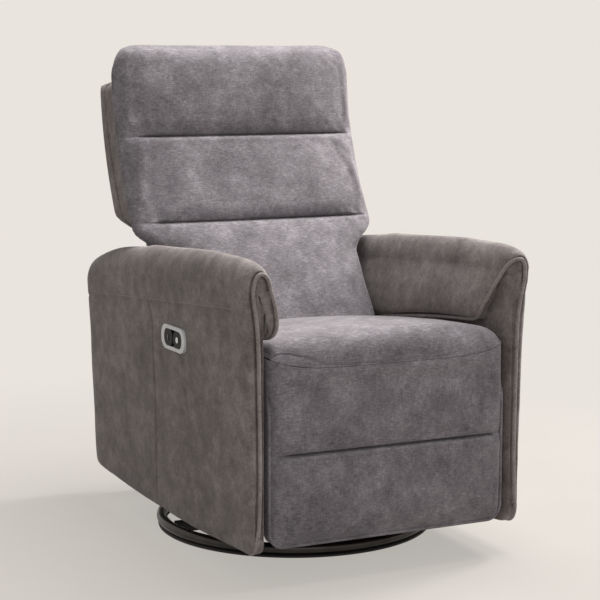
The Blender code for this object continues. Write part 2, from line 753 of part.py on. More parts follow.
# Rear links, welded to one torque tube with its two cranks
crank_angle = math.radians(CRANK_REST_ANGLE)
crank_pin = (
    rear_pivot[0] - CRANK_RADIUS * math.cos(crank_angle),
    rear_pivot[1] - CRANK_RADIUS * math.sin(crank_angle),
)
cheek_in = ACTUATOR_RAIL_HALF + FIT
cheek_out = cheek_in + CARRIAGE_CHEEK
crank_in = cheek_out + LAYER_GAP
rear_outline = [about(place, rear_pivot) for place in hull([rear_pivot, rear_pin, lug_pin], LINK_RADIUS)]
crank_outline = [about(place, rear_pivot) for place in hull([rear_pivot, crank_pin], LINK_RADIUS)]
torque_tube = rod(TORQUE_TUBE_RADIUS, 2 * link_in + LINK_THICKNESS, 18)
tube_place = (0, *rear_pivot)
rear_links = add("footrest_rear_links", torque_tube, BLACK_STEEL, rear_swing, tube_place, CROSSWISE_TURN)
for hand, side in SIDES:
    arm_place = (side * (link_in + LINK_THICKNESS / 2), *rear_pivot)
    crank_place = (side * (crank_in + CRANK_THICKNESS / 2), *rear_pivot)
    arm = solid(flat([rear_outline], LINK_THICKNESS))
    crank = solid(flat([crank_outline], CRANK_THICKNESS))
    combine(rear_links, tool(arm, arm_place, UPRIGHT_TURN), "UNION")
    combine(rear_links, tool(crank, crank_place, UPRIGHT_TURN), "UNION")
    stub(rear_links, PIN_RADIUS, cheek_in + LAYER_GAP / 2, crank_in + CRANK_THICKNESS / 2, crank_pin, side)
    for pin in (rear_pin, lug_pin):
        stub(rear_links, PIN_RADIUS, LINK_X[1] - LAYER_GAP / 2, link_in + LINK_THICKNESS / 2, pin, side)
    bearing = tool(rod(hole, LINK_THICKNESS + 2 * LAYER_GAP), arm_place, CROSSWISE_TURN)
    combine(rear_links, bearing, "DIFFERENCE")

# Front links, upper links, lower links and footrest brackets
board_back = BOARD_BACK_Y + FIT
bracket_front = board_back + BRACKET_THICKNESS / 2
bracket_pins = [
    rest_pin,
    rest_lug,
    (board_back + LINK_RADIUS, rest_pin[1] - BRACKET_SPREAD),
    (board_back + LINK_RADIUS, rest_lug[1]),
]
for hand, side in SIDES:
    link = side_plate(
        f"footrest_front_link_{hand}",
        [
            [about(place, front_pivot) for place in hull([front_pivot, front_pin], LINK_RADIUS)],
            circle((0, 0), hole),
        ],
        LINK_X[0], LINK_THICKNESS, BLACK_STEEL, front_swing, front_pivot, side,
    )
    stub(link, PIN_RADIUS, LINK_X[1] - LAYER_GAP / 2, link_in + LINK_THICKNESS / 2, front_pin, side)
    side_plate(
        f"footrest_upper_link_{hand}",
        [
            [about(place, rear_pin) for place in hull([rear_pin, front_pin, rest_pin], LINK_RADIUS)],
            circle((0, 0), hole),
            circle(about(front_pin, rear_pin), hole),
            circle(about(rest_pin, rear_pin), hole),
        ],
        LINK_X[1], LINK_THICKNESS, BLACK_STEEL, upper_swing, rear_pin, side,
    )
    side_plate(
        f"footrest_lower_link_{hand}",
        [
            [about(place, lug_pin) for place in hull([lug_pin, rest_lug], LINK_RADIUS)],
            circle((0, 0), hole),
            circle(about(rest_lug, lug_pin), hole),
        ],
        LINK_X[1], LINK_THICKNESS, BLACK_STEEL, lower_swing, lug_pin, side,
    )
    bracket = side_plate(
        f"footrest_bracket_{hand}",
        [[about(place, rest_pin) for place in hull(bracket_pins, LINK_RADIUS)]],
        BRACKET_X, LINK_THICKNESS, BLACK_STEEL, footrest, rest_pin, side,
    )
    flange_x = BRACKET_X + LINK_THICKNESS - BRACKET_WIDTH / 2
    flange_z = (rest_pin[1] + rest_lug[1]) / 2 - BRACKET_SPREAD
    flange = block((BRACKET_WIDTH, BRACKET_THICKNESS, BRACKET_HEIGHT))
    combine(bracket, tool(flange, (side * flange_x, bracket_front, flange_z)), "UNION")
    for pin in (rest_pin, rest_lug):
        stub(bracket, PIN_RADIUS, BRACKET_X + LINK_THICKNESS / 2, LINK_X[0] - LAYER_GAP / 2, pin, side)

# Footrest board and its two-panel pad
board_middle = CHASSIS_Z + (BOARD_FOOT + BOARD_TOP) / 2
board_size = (2 * BOARD_HALF, BOARD_THICKNESS, BOARD_TOP - BOARD_FOOT)
add("footrest_board", block(board_size, WOOD_EDGE), WOOD, footrest,
    (0, BOARD_BACK_Y - BOARD_THICKNESS / 2, board_middle))
pad_back = BOARD_BACK_Y - BOARD_THICKNESS - FIT


def seam_lift(across):
    """How much higher the seam between footrest and seat lies towards the arms."""
    return PAD_TOP_LIFT * abs(across) ** 6


PAD_ROWS = rows(PAD_FOOT, (PAD_CHANNEL, 8), (PAD_TOP, 7))


def pad_shape(across, deep, high):
    """The footrest pad: two stuffed panels with a sewn channel between, drawn in at the lower corners."""
    rise = row_of(PAD_ROWS, high)
    if rise < PAD_CHANNEL:
        share = (rise - PAD_FOOT) / (PAD_CHANNEL - PAD_FOOT)
    else:
        share = (rise - PAD_CHANNEL) / (PAD_TOP - PAD_CHANNEL)
    low = PAD_CHANNEL_THICKNESS
    if rise < PAD_CHANNEL and share < 0.5:
        low = PAD_EDGE
    if rise > PAD_CHANNEL and share > 0.5:
        low = PAD_TOP_THICKNESS
    thickness = blend(low, PAD_CROWN, swell(share))
    thickness = blend(PAD_EDGE, thickness, plump(across, 6))
    half = PAD_HALF - rounding(PAD_CORNER, rise - PAD_FOOT) - CHANNEL_PINCH * (1 - swell(share))
    lift = seam_lift(across) * max(0.0, (rise - PAD_CHANNEL) / (PAD_TOP - PAD_CHANNEL)) ** 2
    return (across * half, pad_back - thickness * (1 - deep) / 2, rise + lift + CHASSIS_Z)


add("footrest_pad", form((10, 1, len(PAD_ROWS) - 1), pad_shape), FABRIC, footrest)


# Seat rails, zigzag springs and the seat cushion
side_rail_x = SEAT_FRAME_HALF - SEAT_RAIL_WIDTH / 2
seat_rail_middle = SEAT_RAIL_Z + SEAT_RAIL_HEIGHT / 2
frame_length = SEAT_FRAME_REAR_Y - SEAT_FRAME_FRONT_Y
frame_middle = (SEAT_FRAME_REAR_Y + SEAT_FRAME_FRONT_Y) / 2
cross_half = SEAT_FRAME_HALF - SEAT_RAIL_WIDTH - FIT
for hand, side in SIDES:
    add(f"seat_rail_{hand}", block((SEAT_RAIL_WIDTH, frame_length, SEAT_RAIL_HEIGHT), WOOD_EDGE), WOOD, rock,
        (side * side_rail_x, frame_middle, seat_rail_middle))
cross_size = (2 * cross_half, SEAT_RAIL_WIDTH, SEAT_RAIL_HEIGHT)
front_rail_y = SEAT_FRAME_FRONT_Y + SEAT_RAIL_WIDTH / 2
rear_rail_y = SEAT_FRAME_REAR_Y - SEAT_RAIL_WIDTH / 2
add("seat_rail_front", block(cross_size, WOOD_EDGE), WOOD, rock, (0, front_rail_y, seat_rail_middle))
add("seat_rail_rear", block(cross_size, WOOD_EDGE), WOOD, rock, (0, rear_rail_y, seat_rail_middle))

spring_front = SEAT_FRAME_FRONT_Y + SEAT_RAIL_WIDTH + FIT + SEAT_SPRING_WIRE
spring_rear = SEAT_FRAME_REAR_Y - SEAT_RAIL_WIDTH - FIT - SEAT_SPRING_WIRE
meander = []
for k in range(2 * SEAT_SPRING_WAVES):
    way = 1 if k % 2 else -1
    y = blend(spring_front, spring_rear, k / (2 * SEAT_SPRING_WAVES - 1))
    meander += [(-way * SEAT_SPRING_WIDTH / 2, y, 0), (way * SEAT_SPRING_WIDTH / 2, y, 0)]
print("seat spring least gap", round(least_gap(meander, SEAT_SPRING_WIRE, 2) * 1000, 2), "mm")
for k in range(SEAT_SPRING_COUNT):
    offset = SEAT_SPRING_PITCH * (k - (SEAT_SPRING_COUNT - 1) / 2)
    add(f"seat_spring_{k + 1}", tube(meander, SEAT_SPRING_WIRE, 0), SPRING_STEEL, rock,
        (offset, 0, seat_rail_middle))


def back_line(z):
    """Side view line where the back cushion meets the back shell: straight below, bowed above."""
    drop = CHASSIS_Z + BACK_LINE_TOP_RISE - z
    bowed = min(drop, BACK_LINE_STRAIGHT)
    slope = 2 * BACK_LINE_BEND * BACK_LINE_STRAIGHT
    return BACK_LINE_TOP_Y - BACK_LINE_BEND * bowed**2 - slope * max(0.0, drop - BACK_LINE_STRAIGHT)


SEAT_NOSE_ROWS = (
    (SEAT_FRONT_Y, 0.0),
    (SEAT_FRONT_Y, SEAT_NOSE_UNDER),
    (SEAT_NOSE_Y + SEAT_NOSE_LIP, SEAT_NOSE_UNDER),
    (SEAT_NOSE_Y, SEAT_NOSE_UNDER + SEAT_NOSE_ROUND),
    (SEAT_NOSE_Y + SEAT_NOSE_LIP, SEAT_EDGE - SEAT_NOSE_LIP),
    (SEAT_NOSE_Y + SEAT_NOSE_ROLL, SEAT_EDGE),
)


def seat_shape(across, deep, high):
    """The seat cushion: crowned, falling to the rear, its front roll standing over the footrest pad."""
    nose_y, rise = row_of(SEAT_NOSE_ROWS, high)
    forward = (1 - deep) / 2
    fall = 1 - SEAT_NOSE_FALL * ease((forward - 0.78) / 0.22)
    crown = SEAT_CROWN * (1 - abs(across) ** 3) * fall
    over_nose = rise > SEAT_NOSE_UNDER
    top = crown - SEAT_REAR_FALL * (1 - forward) ** SEAT_FALL_POWER
    lift = top * (rise - SEAT_NOSE_UNDER) / (SEAT_EDGE - SEAT_NOSE_UNDER) if over_nose else 0.0
    if rise > 0:
        lift += seam_lift(across) * (SEAT_EDGE - rise) / (SEAT_EDGE - SEAT_NOSE_UNDER)
    if nose_y < SEAT_FRONT_Y:
        nose_y += SEAT_NOSE_RECESS * abs(across) ** 6
    z = SEAT_Z + rise + lift
    rear = back_line(z) - BACK_CROWN - SEAT_BACK_GAP
    pinch = SEAT_PINCH * (1 - swell((high + 1) / 2))
    return (across * (SEAT_HALF - pinch), blend(rear, nose_y, forward), z)


add("seat_cushion", form((8, 10, 5), seat_shape), FABRIC, rock)


# Backrest: uprights, rails, hinge brackets, outer shell and the three-pillow cushion
upright_out = SHELL_NARROW_HALF - SHELL_SIDE_WALL - FIT
upright_in = upright_out - UPRIGHT_THICKNESS
upright_steps = [
    CHASSIS_Z + blend(UPRIGHT_FOOT, UPRIGHT_TOP, k / (UPRIGHT_POINTS - 1)) for k in range(UPRIGHT_POINTS)
]
upright_front = [(back_line(z) + FRAME_SETBACK, z) for z in upright_steps]
upright_outline = upright_front + [(y + UPRIGHT_DEPTH, z) for y, z in reversed(upright_front)]
bracket_foot = CHASSIS_Z + UPRIGHT_FOOT + HINGE_BRACKET_RISE
bracket_head = bracket_foot + HINGE_BRACKET_SPREAD
hinge_pins = [
    hinge,
    (back_line(bracket_foot) + UPRIGHT_DEPTH / 2, bracket_foot),
    (back_line(bracket_head) + UPRIGHT_DEPTH / 2, bracket_head),
]
for hand, side in SIDES:
    upright = flat([[about(place, hinge) for place in upright_outline]], UPRIGHT_THICKNESS)
    add(f"back_upright_{hand}", upright, WOOD, recline,
        (side * (upright_in + upright_out) / 2, *hinge), UPRIGHT_TURN)
    side_plate(
        f"back_hinge_bracket_{hand}",
        [[about(place, hinge) for place in hull(hinge_pins, HINGE_BOSS)], circle((0, 0), hole)],
        upright_out + FIT, HINGE_PLATE, ZINC_STEEL, recline, hinge, side,
    )
for name, rise in (("back_rail_bottom", BACK_RAIL_LOW), ("back_rail_top", BACK_RAIL_HIGH)):
    rail_top = CHASSIS_Z + rise + BACK_RAIL_HEIGHT
    add(name, block((2 * (upright_in - FIT), BACK_RAIL_DEPTH, BACK_RAIL_HEIGHT), WOOD_EDGE), WOOD, recline,
        (0, back_line(rail_top) + FRAME_SETBACK + BACK_RAIL_DEPTH / 2, rail_top - BACK_RAIL_HEIGHT / 2))


def shoulder(rise, span, narrow, wide):
    """Half width of the back, narrow between the arms and wide above them, easing over a span of rises."""
    return blend(narrow, wide, ease((rise - span[0]) / (span[1] - span[0])))


def shell_form(wall, side_wall, overcut):
    """The outer back, or its hollow when it is given walls and cuts past the open foot and front."""
    top = SHELL_TOP - wall
    heights = rows(SHELL_FOOT - overcut, (top - SHELL_CORNER, 15), (top, 3))

    def shape(across, deep, high):
        rise = row_of(heights, high)
        z = CHASSIS_Z + rise
        half = shoulder(rise - wall, SHELL_SHOULDER, SHELL_NARROW_HALF - side_wall, SHELL_HALF - wall)
        half -= rounding(SHELL_CORNER, top - rise)
        rear = back_line(z) + SHELL_DEPTH + SHELL_TAPER * (SHELL_TOP - rise) - wall
        rear -= SHELL_REAR_ROUND * max(0.0, 2 * abs(across) - 1) ** 2
        return (across * half, blend(back_line(z) + FIT - overcut, rear, (deep + 1) / 2), z)

    return form((6, 1, len(heights) - 1), shape)


shell = add("back_shell", shell_form(0.0, 0.0, 0.0), FABRIC, recline)
combine(shell, tool(shell_form(SHELL_WALL, SHELL_SIDE_WALL, SHELL_OVERCUT), (0, 0, 0)), "DIFFERENCE")


BACK_ROWS = rows(BACK_CUSHION_FOOT, (BACK_CHANNELS[0], 8), (BACK_CHANNELS[1], 8), (SHELL_TOP, 5),
                 (BACK_CUSHION_TOP, 5))


def back_shape(across, deep, high):
    """The back cushion: three stuffed pillows with sewn channels, narrow between the arms."""
    rise = row_of(BACK_ROWS, high)
    marks = (BACK_CUSHION_FOOT, *BACK_CHANNELS, BACK_CUSHION_TOP)
    index = sum(rise > mark for mark in BACK_CHANNELS)
    share = (rise - marks[index]) / (marks[index + 1] - marks[index])
    at_edge = index == 0 and share < 0.5 or index == len(BACK_CHANNELS) and share > 0.5
    low = BACK_EDGE if at_edge else BACK_CHANNEL_THICKNESS
    thickness = blend(low, BACK_CROWN, swell(share))
    thickness = blend(BACK_EDGE, thickness, plump(across, 4))
    z = CHASSIS_Z + rise
    half = shoulder(rise, BACK_SHOULDER, BACK_NARROW_HALF, BACK_HALF)
    half -= rounding(BACK_CORNER, BACK_CUSHION_TOP - rise) + CHANNEL_PINCH * (1 - swell(share))
    front = back_line(z) - FIT - thickness
    above = (rise - SHELL_TOP) / (BACK_CUSHION_TOP - SHELL_TOP)
    rear = back_line(z) - FIT + BACK_HEAD_BULGE * swell(above) * plump(across, 4)
    return (across * half, blend(front, rear, (deep + 1) / 2), z)


add("back_cushion", form((10, 1, len(BACK_ROWS) - 1), back_shape), FABRIC, recline)


# Arms: wooden rail, padded side panel and the rolled top pad with its hanging flap
arm_low_z = CHASSIS_Z - ARM_DROP
flap_z = CHASSIS_Z + ARM_FLAP_RISE


def arm_foot(y):
    """Height of the arm's lower edge: a shallow belly between two rounded corners."""
    along = (y - ARM_FRONT_Y) / (ARM_REAR_Y - ARM_FRONT_Y)
    corner = rounding(ARM_CORNER, min(y - ARM_FRONT_Y, ARM_REAR_Y - y))
    return arm_low_z - ARM_BELLY * swell(along, 1.0) + corner


def arm_seam(y):
    """Height of the seam between the side panel and the top pad."""
    return CHASSIS_Z + ARM_SEAM_RISE - ARM_SEAM_SLOPE * (y - ARM_FRONT_Y)


def arm_crown(y):
    """Height of the top of the arm, level in front and falling to the rear."""
    return CHASSIS_Z + ARM_CROWN_RISE - ARM_CROWN_SAG * max(0.0, y - ARM_FRONT_CROWN_Y) ** 2


def arm_side(y, z):
    """Distance of the arm's outer face from the middle of the chair."""
    share = (z - arm_low_z) / (CHASSIS_Z + ARM_CROWN_RISE - arm_low_z)
    along = (y - ARM_FRONT_Y) / (ARM_REAR_Y - ARM_FRONT_Y)
    bulge = ARM_BULGE * swell(min(along, 0.5)) * swell(share)
    return ARM_WALL_X + ARM_FOOT_THICKNESS + ARM_TOP_FLARE * share**2 + bulge


ARM_STATIONS = rows(
    ARM_FRONT_Y, (ARM_FRONT_Y + ARM_CORNER, 3), (ARM_REAR_Y - ARM_CORNER, 7), (ARM_REAR_Y, 3)
)


def panel_shape(side):
    """The side panel of one arm as a formula."""

    def shape(across, along, high):
        y = row_of(ARM_STATIONS, along)
        z = blend(arm_foot(y), arm_seam(y), (high + 1) / 2)
        outer = arm_side(y, z) - rounding(ARM_END_ROUND, min(y - ARM_FRONT_Y, ARM_REAR_Y - y))
        return (side * (outer if across > 0 else ARM_WALL_X), y, z)

    return shape


def loft(sections):
    """A closed solid through rings of points, capped at both ends."""
    mesh = bpy.data.meshes.new("loft")
    shape = bmesh.new()
    rings = [[shape.verts.new(point) for point in section] for section in sections]
    for ring, following in zip(rings, rings[1:]):
        for k, corner in enumerate(ring):
            after = (k + 1) % len(ring)
            shape.faces.new((corner, ring[after], following[after], following[k]))
    for ring in (rings[0], rings[-1]):
        shape.faces.new(ring)
    bmesh.ops.triangulate(shape, faces=[face for face in shape.faces if len(face.verts) > 4])
    bmesh.ops.recalc_face_normals(shape, faces=shape.faces)
    shape.to_mesh(mesh)
    shape.free()
    return mesh


def pad_section(y, slant, shrink, side):
    """One ring round the arm pad: outer side, roll, inner side, flap, and the slit back up to the wall."""
    low = arm_seam(y) + FIT
    high = arm_crown(y) - shrink
    middle = (low + high) / 2
    centre = ARM_WALL_X + ARM_ROLL_CENTRE
    flap = ARM_FLAP_THICKNESS / 2
    flap_middle = ARM_WALL_X - ARM_FLAP_REACH + flap
    outline = [(arm_side(y, low) - shrink / 3, low, 0.0)]
    for k in range(ARM_ROLL_POINTS):
        angle = math.pi * k / (ARM_ROLL_POINTS - 1)
        reach = arm_side(y, middle) - shrink / 3 - centre if k < ARM_ROLL_POINTS / 2 else ARM_ROLL_REACH
        forward = -ARM_ROLL_FORWARD * math.sin(angle) if slant else 0.0
        height = middle + (high - middle) * math.sin(angle)
        outline.append((centre + reach * math.cos(angle), height, forward))
    for k in range(3):
        angle = math.pi * (1 + k / 2)
        outline.append((flap_middle + flap * math.cos(angle), flap_z + flap + flap * math.sin(angle), slant))
    outline.append((ARM_WALL_X - ARM_SLIT_GAP, (low + middle) / 2, 0.0))
    outline.append((ARM_WALL_X, low, 0.0))
    return [(side * x, y + forward, z) for x, z, forward in outline]


rail_x = PLATE_X + PLATE_THICKNESS + FIT + ARM_RAIL_THICKNESS / 2
arm_rail_length = ARM_RAIL_REAR_Y - ARM_RAIL_FRONT_Y
pad_stations = rows(ARM_FRONT_Y, (ARM_REAR_Y - ARM_REAR_ROUND, 7))
panels = {}
for hand, side in SIDES:
    arm_rail = block((ARM_RAIL_THICKNESS, arm_rail_length, ARM_RAIL_HEIGHT), WOOD_EDGE)
    add(f"arm_rail_{hand}", arm_rail, WOOD, rock,
        (side * rail_x, (ARM_RAIL_REAR_Y + ARM_RAIL_FRONT_Y) / 2, CHASSIS_Z + ARM_RAIL_HEIGHT / 2))
    panel_form = form((1, len(ARM_STATIONS) - 1, 7), panel_shape(side))
    panels[hand] = add(f"arm_panel_{hand}", panel_form, ARM_FABRIC, rock)
    rings = [pad_section(ARM_FRONT_Y, ARM_FLAP_SLANT, 0.0, side)]
    rings += [pad_section(y, 0.0, 0.0, side) for y in pad_stations[1:]]
    rings.append(pad_section(ARM_REAR_Y, 0.0, ARM_REAR_ROUND, side))
    add(f"arm_pad_{hand}", loft(rings), FABRIC, rock)

rear_panel_size = (2 * (ARM_WALL_X - FIT), REAR_PANEL_THICKNESS, REAR_PANEL_HEIGHT)
add("rear_panel", block(rear_panel_size, WOOD_EDGE), FABRIC, rock,
    (0, ARM_RAIL_REAR_Y + FIT + REAR_PANEL_THICKNESS / 2, arm_low_z + REAR_PANEL_HEIGHT / 2))


# Actuator: channel on the chassis rails, motor behind it and the carriage that turns the cranks
rail_length = ACTUATOR_RAIL_REAR_Y - ACTUATOR_RAIL_FRONT_Y
rail_size = (2 * ACTUATOR_RAIL_HALF, rail_length, ACTUATOR_RAIL_HEIGHT)
rail_bore = (rail_size[0] - 2 * ACTUATOR_RAIL_WALL, rail_length + ACTUATOR_RAIL_WALL, ACTUATOR_RAIL_HEIGHT)
rail_y = (ACTUATOR_RAIL_REAR_Y + ACTUATOR_RAIL_FRONT_Y) / 2
rail_place = Vector((0, rail_y, DECK_Z + ACTUATOR_RAIL_HEIGHT / 2))
rail = add("actuator_rail", block(rail_size), ZINC_STEEL, rock, rail_place)
combine(rail, tool(block(rail_bore), rail_place - Vector((0, 0, ACTUATOR_RAIL_WALL))), "DIFFERENCE")
gearbox_y = ACTUATOR_RAIL_REAR_Y + FIT + GEARBOX_LENGTH / 2
gearbox = block((2 * GEARBOX_HALF, GEARBOX_LENGTH, GEARBOX_HEIGHT), GEARBOX_EDGE)
motor = add("actuator_motor", gearbox, BLACK_PLASTIC, rock, (0, gearbox_y, DECK_Z + GEARBOX_HEIGHT / 2))
can_foot = DECK_Z + MOTOR_SINK - MOTOR_LENGTH
can = tool(rod(MOTOR_RADIUS, MOTOR_LENGTH, 24), (0, gearbox_y, can_foot + MOTOR_LENGTH / 2))
combine(motor, can, "UNION")
combine(motor, tool(rod(MOTOR_CAP_RADIUS, 2 * MOTOR_CAP_LENGTH, 24), (0, gearbox_y, can_foot)), "UNION")

rail_top = DECK_Z + ACTUATOR_RAIL_HEIGHT
slot_low = rear_pivot[1] - CRANK_RADIUS
slot = hull([(crank_pin[0], slot_low), (crank_pin[0], crank_pin[1])], PIN_RADIUS + SLOT_CLEARANCE)
half_length = CARRIAGE_LENGTH / 2
cheek = [
    (-half_length, rail_top - CARRIAGE_CHEEK_DROP),
    (half_length, rail_top - CARRIAGE_CHEEK_DROP),
    (half_length, rail_top + CARRIAGE_CHEEK_RISE),
    (-half_length, rail_top + CARRIAGE_CHEEK_RISE),
]
slot_there = [(y - crank_pin[0], z) for y, z in slot]
carriage = None
for hand, side in SIDES:
    mesh = solid(flat([cheek, slot_there], CARRIAGE_CHEEK))
    place = (side * (cheek_in + CARRIAGE_CHEEK / 2), crank_pin[0], 0)
    if carriage is None:
        carriage = add("actuator_carriage", mesh, BLACK_STEEL, rock, place, UPRIGHT_TURN)
    else:
        combine(carriage, tool(mesh, place, UPRIGHT_TURN), "UNION")
bridge_length = half_length - 2 * (PIN_RADIUS + SLOT_CLEARANCE)
bridge_z = rail_top + FIT + CARRIAGE_BRIDGE / 2
for way in (-1, 1):
    bridge = tool(block((2 * cheek_in + CARRIAGE_CHEEK, bridge_length, CARRIAGE_BRIDGE)),
                  (0, crank_pin[0] + way * (half_length - bridge_length / 2), bridge_z))
    combine(carriage, bridge, "UNION")


# Switch: housing let into the right arm panel, bezel over it, two buttons in the bezel's window
switch_z = CHASSIS_Z + SWITCH_RISE
switch_x = arm_side(SWITCH_Y, switch_z - SWITCH_HEIGHT / 2) - SWITCH_REBATE


def rounded(length, height, corner):
    """A rounded rectangle about its middle."""
    along = length / 2 - corner
    up = height / 2 - corner
    return hull([(-along, -up), (along, -up), (along, up), (-along, up)], corner, 5)


rebate = flat([rounded(SWITCH_LENGTH + 2 * FIT, SWITCH_HEIGHT + 2 * FIT, SWITCH_CORNER)], REBATE_CUT)
rebate_place = (-switch_x - REBATE_CUT / 2, SWITCH_Y, switch_z)
combine(panels["right"], tool(solid(rebate), rebate_place, UPRIGHT_TURN), "DIFFERENCE")
window = (SWITCH_LENGTH - 2 * BEZEL_BORDER_LENGTH, SWITCH_HEIGHT - 2 * BEZEL_BORDER_HEIGHT)
pocket = block((2 * HOUSING_DEPTH, window[0] + 2 * FIT, window[1] + 2 * FIT))
combine(panels["right"], tool(pocket, (-switch_x, SWITCH_Y, switch_z)), "DIFFERENCE")
housing_depth = HOUSING_DEPTH - FIT
add("switch_housing", block((housing_depth, window[0], window[1]), STEEL_EDGE), BLACK_PLASTIC, rock,
    (-switch_x + housing_depth / 2, SWITCH_Y, switch_z))
window_corner = SWITCH_CORNER - BEZEL_BORDER_HEIGHT
bezel = flat(
    [rounded(SWITCH_LENGTH, SWITCH_HEIGHT, SWITCH_CORNER), rounded(*window, window_corner)], BEZEL_THICKNESS
)
add("switch_bezel", bezel, SILVER_PLASTIC, rock,
    (-switch_x - FIT - BEZEL_THICKNESS / 2, SWITCH_Y, switch_z), UPRIGHT_TURN)

button_length = (window[0] - BUTTON_GAP) / 2 - PIN_CLEARANCE
button_height = window[1] - 2 * PIN_CLEARANCE
button_x = -switch_x - FIT - BUTTON_TRAVEL - FIT - BUTTON_THICKNESS / 2
for name, way in (("button_open", 1), ("button_close", -1)):
    button_y = SWITCH_Y + way * (BUTTON_GAP + button_length) / 2
    outline = rounded(button_length, button_height, window_corner - PIN_CLEARANCE)
    slider = pivot(f"{name}_axis", (button_x, button_y, switch_z), rock)
    button = add(name, solid(flat([outline], BUTTON_THICKNESS)), BLACK_PLASTIC, slider,
                 (button_x, button_y, switch_z), UPRIGHT_TURN)
    mark_x = button_x - BUTTON_THICKNESS / 2
    if name == "button_open":
        mark = tool(block((2 * BUTTON_MARK, *BUTTON_BAR)), (mark_x, button_y, switch_z))
    else:
        mark = tool(rod(BUTTON_DOT, 2 * BUTTON_MARK), (mark_x, button_y, switch_z), CROSSWISE_TURN)
    combine(button, mark, "UNION")
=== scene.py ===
"""Looks of a power swivel rocker recliner in grey chenille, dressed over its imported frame.

Metres, +Z up, -Y to the front of the chair, +X to the sitter's left.
"""

import math

import bpy
import numpy as np
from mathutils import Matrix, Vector, noise


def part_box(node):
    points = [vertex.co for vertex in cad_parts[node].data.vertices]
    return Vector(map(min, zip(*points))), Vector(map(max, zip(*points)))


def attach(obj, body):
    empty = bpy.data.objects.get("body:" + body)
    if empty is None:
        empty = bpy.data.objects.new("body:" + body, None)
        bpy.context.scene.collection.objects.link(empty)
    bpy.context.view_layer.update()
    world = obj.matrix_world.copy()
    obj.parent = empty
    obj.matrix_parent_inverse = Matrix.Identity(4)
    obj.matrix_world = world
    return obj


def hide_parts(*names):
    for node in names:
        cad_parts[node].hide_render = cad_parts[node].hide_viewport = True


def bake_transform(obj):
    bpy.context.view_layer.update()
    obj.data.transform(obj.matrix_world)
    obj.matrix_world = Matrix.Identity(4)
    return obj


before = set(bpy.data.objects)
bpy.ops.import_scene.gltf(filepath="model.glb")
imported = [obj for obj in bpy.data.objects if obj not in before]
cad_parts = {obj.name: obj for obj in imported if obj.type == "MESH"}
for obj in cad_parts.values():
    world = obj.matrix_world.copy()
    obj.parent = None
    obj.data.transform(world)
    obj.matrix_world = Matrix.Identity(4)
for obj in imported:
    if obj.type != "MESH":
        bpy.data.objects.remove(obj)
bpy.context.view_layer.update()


# Camera: stands a step to the chair's right, a little above its arms, and looks through a long
# lens at the corner of the chair where the switch is.
CAMERA_PLACE = (-1.608, -3.294, 0.990)
CAMERA_TILT = 82.10
CAMERA_TURN = -26.22
CAMERA_SENSOR = 36
CAMERA_LENS = 104.44

bpy.ops.object.select_all(action="DESELECT")
bpy.ops.object.camera_add(
    location=CAMERA_PLACE, rotation=(math.radians(CAMERA_TILT), 0, math.radians(CAMERA_TURN)),
)
camera = bpy.context.object
camera.data.sensor_width = CAMERA_SENSOR
camera.data.lens = CAMERA_LENS
bpy.context.scene.camera = camera
bpy.context.scene.view_settings.view_transform = "Standard"


# Floor: one pale level sheet that fades into an equally pale surround, so every side has the same
# plain ground. It is lit from above and from the sitter's left, with a weak fill near the camera.
FLOOR_SIZE = 30.0
FLOOR_DARK = (158, 154, 149)
FLOOR_LIGHT = (165, 161, 156)
PALE = (233, 228, 221)
FLOOR_CLEAR = (0.6, 2.0)
FLOOR_VEIL = 0.55
ROOM_TONE = (0.86, 0.85, 0.84)
ROOM_STRENGTH = 0.52


def node_material(name):
    """A new material, its nodes and links, and its shader."""
    material = bpy.data.materials.new(name)
    material.use_nodes = True
    tree = material.node_tree
    return material, tree.nodes, tree.links, tree.nodes["Principled BSDF"]


def wear_noise(nodes, links, scale, stretch=(1, 1, 1), detail=4.0, roughness=0.6):
    """A noise in the chair's own coordinates, stretched by three factors."""
    place = nodes.new("ShaderNodeTexCoord")
    mapping = nodes.new("ShaderNodeMapping")
    mapping.inputs["Scale"].default_value = stretch
    cloud = nodes.new("ShaderNodeTexNoise")
    cloud.inputs["Scale"].default_value = scale
    cloud.inputs["Detail"].default_value = detail
    cloud.inputs["Roughness"].default_value = roughness
    links.new(place.outputs["Object"], mapping.inputs["Vector"])
    links.new(mapping.outputs["Vector"], cloud.inputs["Vector"])
    return cloud.outputs["Fac"]


def ramp(nodes, links, value, stops):
    """A colour ramp over a value, from (place, colour) stops."""
    band = nodes.new("ShaderNodeValToRGB")
    while len(band.color_ramp.elements) < len(stops):
        band.color_ramp.elements.new(0.5)
    for element, (place, colour) in zip(band.color_ramp.elements, stops):
        element.position = place
        element.color = (*colour, 1)
    links.new(value, band.inputs["Fac"])
    return band.outputs["Color"]


def linear(red, green, blue):
    """An sRGB colour of 0 to 255 as the shader's linear one."""
    return tuple(((c / 255 + 0.055) / 1.055) ** 2.4 for c in (red, green, blue))


def seen_share(nodes, links):
    """One for rays that show the ground: to the camera, mirrored, or through something clear."""
    path = nodes.new("ShaderNodeLightPath")
    total = path.outputs["Is Camera Ray"]
    for kind in ("Is Glossy Ray", "Is Transmission Ray"):
        either = nodes.new("ShaderNodeMath")
        either.operation = "MAXIMUM"
        links.new(total, either.inputs[0])
        links.new(path.outputs[kind], either.inputs[1])
        total = either.outputs["Value"]
    return total


